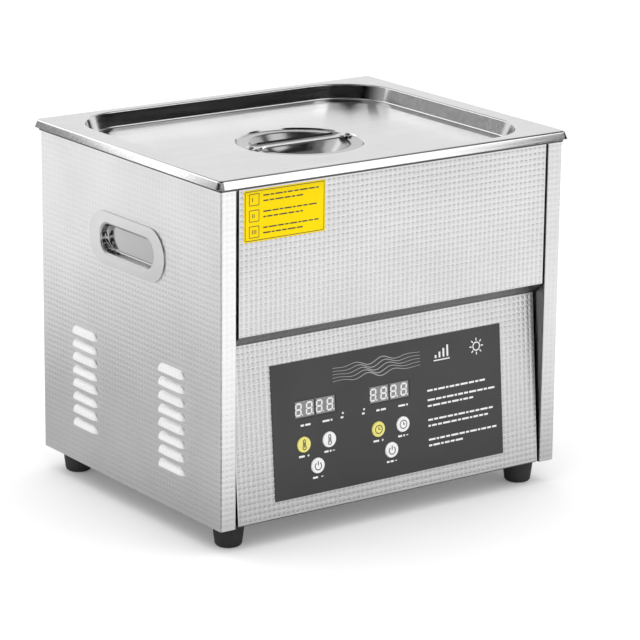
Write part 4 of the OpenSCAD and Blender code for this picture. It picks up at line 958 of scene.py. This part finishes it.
def curved_card(name, radius, start, stop, low, high, paint):
    """An upright card round the object between two bearings in degrees and two heights in metres.

    Its points are (r cos a, r sin a, z)."""
    a = np.radians(np.linspace(start, stop, CARD_STEPS + 1))
    line = radius * np.column_stack([np.cos(a), np.sin(a)])
    rows = np.concatenate([np.column_stack([line, np.full(len(a), z)]) for z in (low, high)])
    studio_card(name, rows, band(CARD_STEPS), paint)


def flat_card(name, x0, x1, y0, y1, z, paint, blocks=True):
    """A level card, given by its limits in metres."""
    studio_card(name, [(x0, y0, z), (x1, y0, z), (x1, y1, z), (x0, y1, z)], [range(4)], paint, blocks)


for name, radius, start, stop, low, high, grey in (
        ("card_front", 1.6, -175, -5, 0.47, FRONT_TOP, 0.01),
        ("card_left", 0.8, 105, 145, 0.38, 0.46, 0.27),
        ("card_camera", 1.6, -175, -88, FRONT_TOP, 1.35, 0.02)):
    curved_card(name, radius, start, stop, low, high, card_paint(f"{name}_paint", grey))
for name, x0, x1, y0, y1, grey in (("card_camera_side", -1.6, 3.0, -1.6, 0.1, 0.02),
                                   ("card_far_side", -2.6, 2.6, 0.1, 2.6, 0.3)):
    flat_card(name, x0, x1, y0, y1, CEILING, card_paint(f"{name}_paint", grey))

# %% The corner card
FADE_FROM, FADE_TO, CORNER_GREY = 0.62, -0.12, 0.42


def fading(tree, value, full, none, most):
    """A socket that falls from most to 0 while the value runs from full to none."""
    return ranged(tree, value, none, full, 0.0, most, interpolation_type="SMOOTHSTEP")


corner_paint = card_paint("card_corner_paint", 0)
tree = corner_paint.node_tree
spot = parts_of(tree, add(tree, "ShaderNodeTexCoord").outputs["Object"])
grey = fading(tree, spot[1], FADE_FROM, FADE_TO, CORNER_GREY)
tree.links.new(grey, tree.nodes["Principled BSDF"].inputs["Base Color"])
curved_card("card_corner", radius=0.8, start=136, stop=198, low=0.345, high=0.75, paint=corner_paint)

# %% Shade on the bench
CASING_HALF = (HALF_W * MM, HALF_D * MM)
SHADE_LIMITS, SHADE_Z, SHADE_GREY = (-0.9, 0.9, -0.9, 0.9), 0.0005, 0.3
NEAR_SHADE, LEFT_SHADE, LEFT_MIDDLE = (0.03, 0.34, 0.68), (0.1, 0.5, 0.8), (-0.36, 0.3, 0)
DARK_FROM, DARK_TO, DARK_RADII, DARK_Z, DARK_GREY = -170, -118, (0.02, 1.6), 0.001, 0.02

shade_paint = card_paint("bench_shade_paint", SHADE_GREY)
tree = shade_paint.node_tree
place = add(tree, "ShaderNodeTexCoord").outputs["Object"]
spot = parts_of(tree, place)
past = [sums(tree, "SUBTRACT", sums(tree, "ABSOLUTE", spot[k]), half) for k, half in enumerate(CASING_HALF)]
round_it = fading(tree, sums(tree, "MAXIMUM", *past), *NEAR_SHADE)
away = add(tree, "ShaderNodeVectorMath", {0: place, 1: LEFT_MIDDLE}, operation="DISTANCE").outputs["Value"]
shade = sums(tree, "MAXIMUM", round_it, fading(tree, away, *LEFT_SHADE))
tree.links.new(shade, tree.nodes["Principled BSDF"].inputs["Alpha"])
flat_card("bench_shade", *SHADE_LIMITS, SHADE_Z, shade_paint, blocks=False)

a = np.radians(np.linspace(DARK_FROM, DARK_TO, CARD_STEPS + 1))
front_left = -np.array(CASING_HALF)
arcs = np.concatenate([front_left + r * np.column_stack([np.cos(a), np.sin(a)]) for r in DARK_RADII])
studio_card("bench_dark", np.column_stack([arcs, np.full(len(arcs), DARK_Z)]), band(CARD_STEPS),
            card_paint("bench_dark_paint", DARK_GREY), blocks=False)

# %% [markdown]
# ## Light
# One large lamp overhead lights the object evenly, and mirrors don't see it. Two smaller ones, in front at
# the right and behind at the left, are mirrored and give the steel its bright bands. Small sharp lamps would
# leave hard spots there. The world is white where it is seen, and a little weaker as a light.

# %% Lamps and world
LAMP_AIM, LID_HEIGHT = Vector((0, 0, 0.15)), TOP * MM
WORLD_LIGHT, WORLD_SEEN = 0.92, 1.0


def soft_lamp(name, place, size, glow, mirrored=True):
    """A square area lamp that faces the object; glow is its brightness seen in a mirror."""
    light = bpy.data.lights.new(name, "AREA")
    light.size, light.energy = size, glow * math.pi * size * size
    made = bpy.data.objects.new(name, light)
    made.location = place
    made.rotation_euler = (LAMP_AIM - Vector(place)).to_track_quat("-Z", "Y").to_euler()
    made.visible_glossy = mirrored
    scene.collection.objects.link(made)
    print(name, round(light.energy, 2), "W")


def from_bearing(bearing, elevation, distance):
    """A place at a bearing and an elevation, in degrees, seen from the lid."""
    a, e = math.radians(bearing), math.radians(elevation)
    out = distance * math.cos(e)
    return (out * math.cos(a), out * math.sin(a), LID_HEIGHT + distance * math.sin(e))


soft_lamp("lamp_over", (-0.2, 0.1, 2.0), size=2.2, glow=0.9, mirrored=False)
soft_lamp("lamp_right", from_bearing(-52, 42, 1.9), size=1.2, glow=1.1)
soft_lamp("lamp_left", from_bearing(126, 30, 1.9), size=1.3, glow=0.8)
world = bpy.data.worlds.new("studio")
scene.world = world
world.use_nodes = True
tree = world.node_tree
background = tree.nodes["Background"]
strength = ranged(tree, seen_directly(tree), 0, 1, WORLD_LIGHT, WORLD_SEEN)
tree.links.new(strength, background.inputs["Strength"])
background.inputs["Color"].default_value = (1, 1, 1, 1)
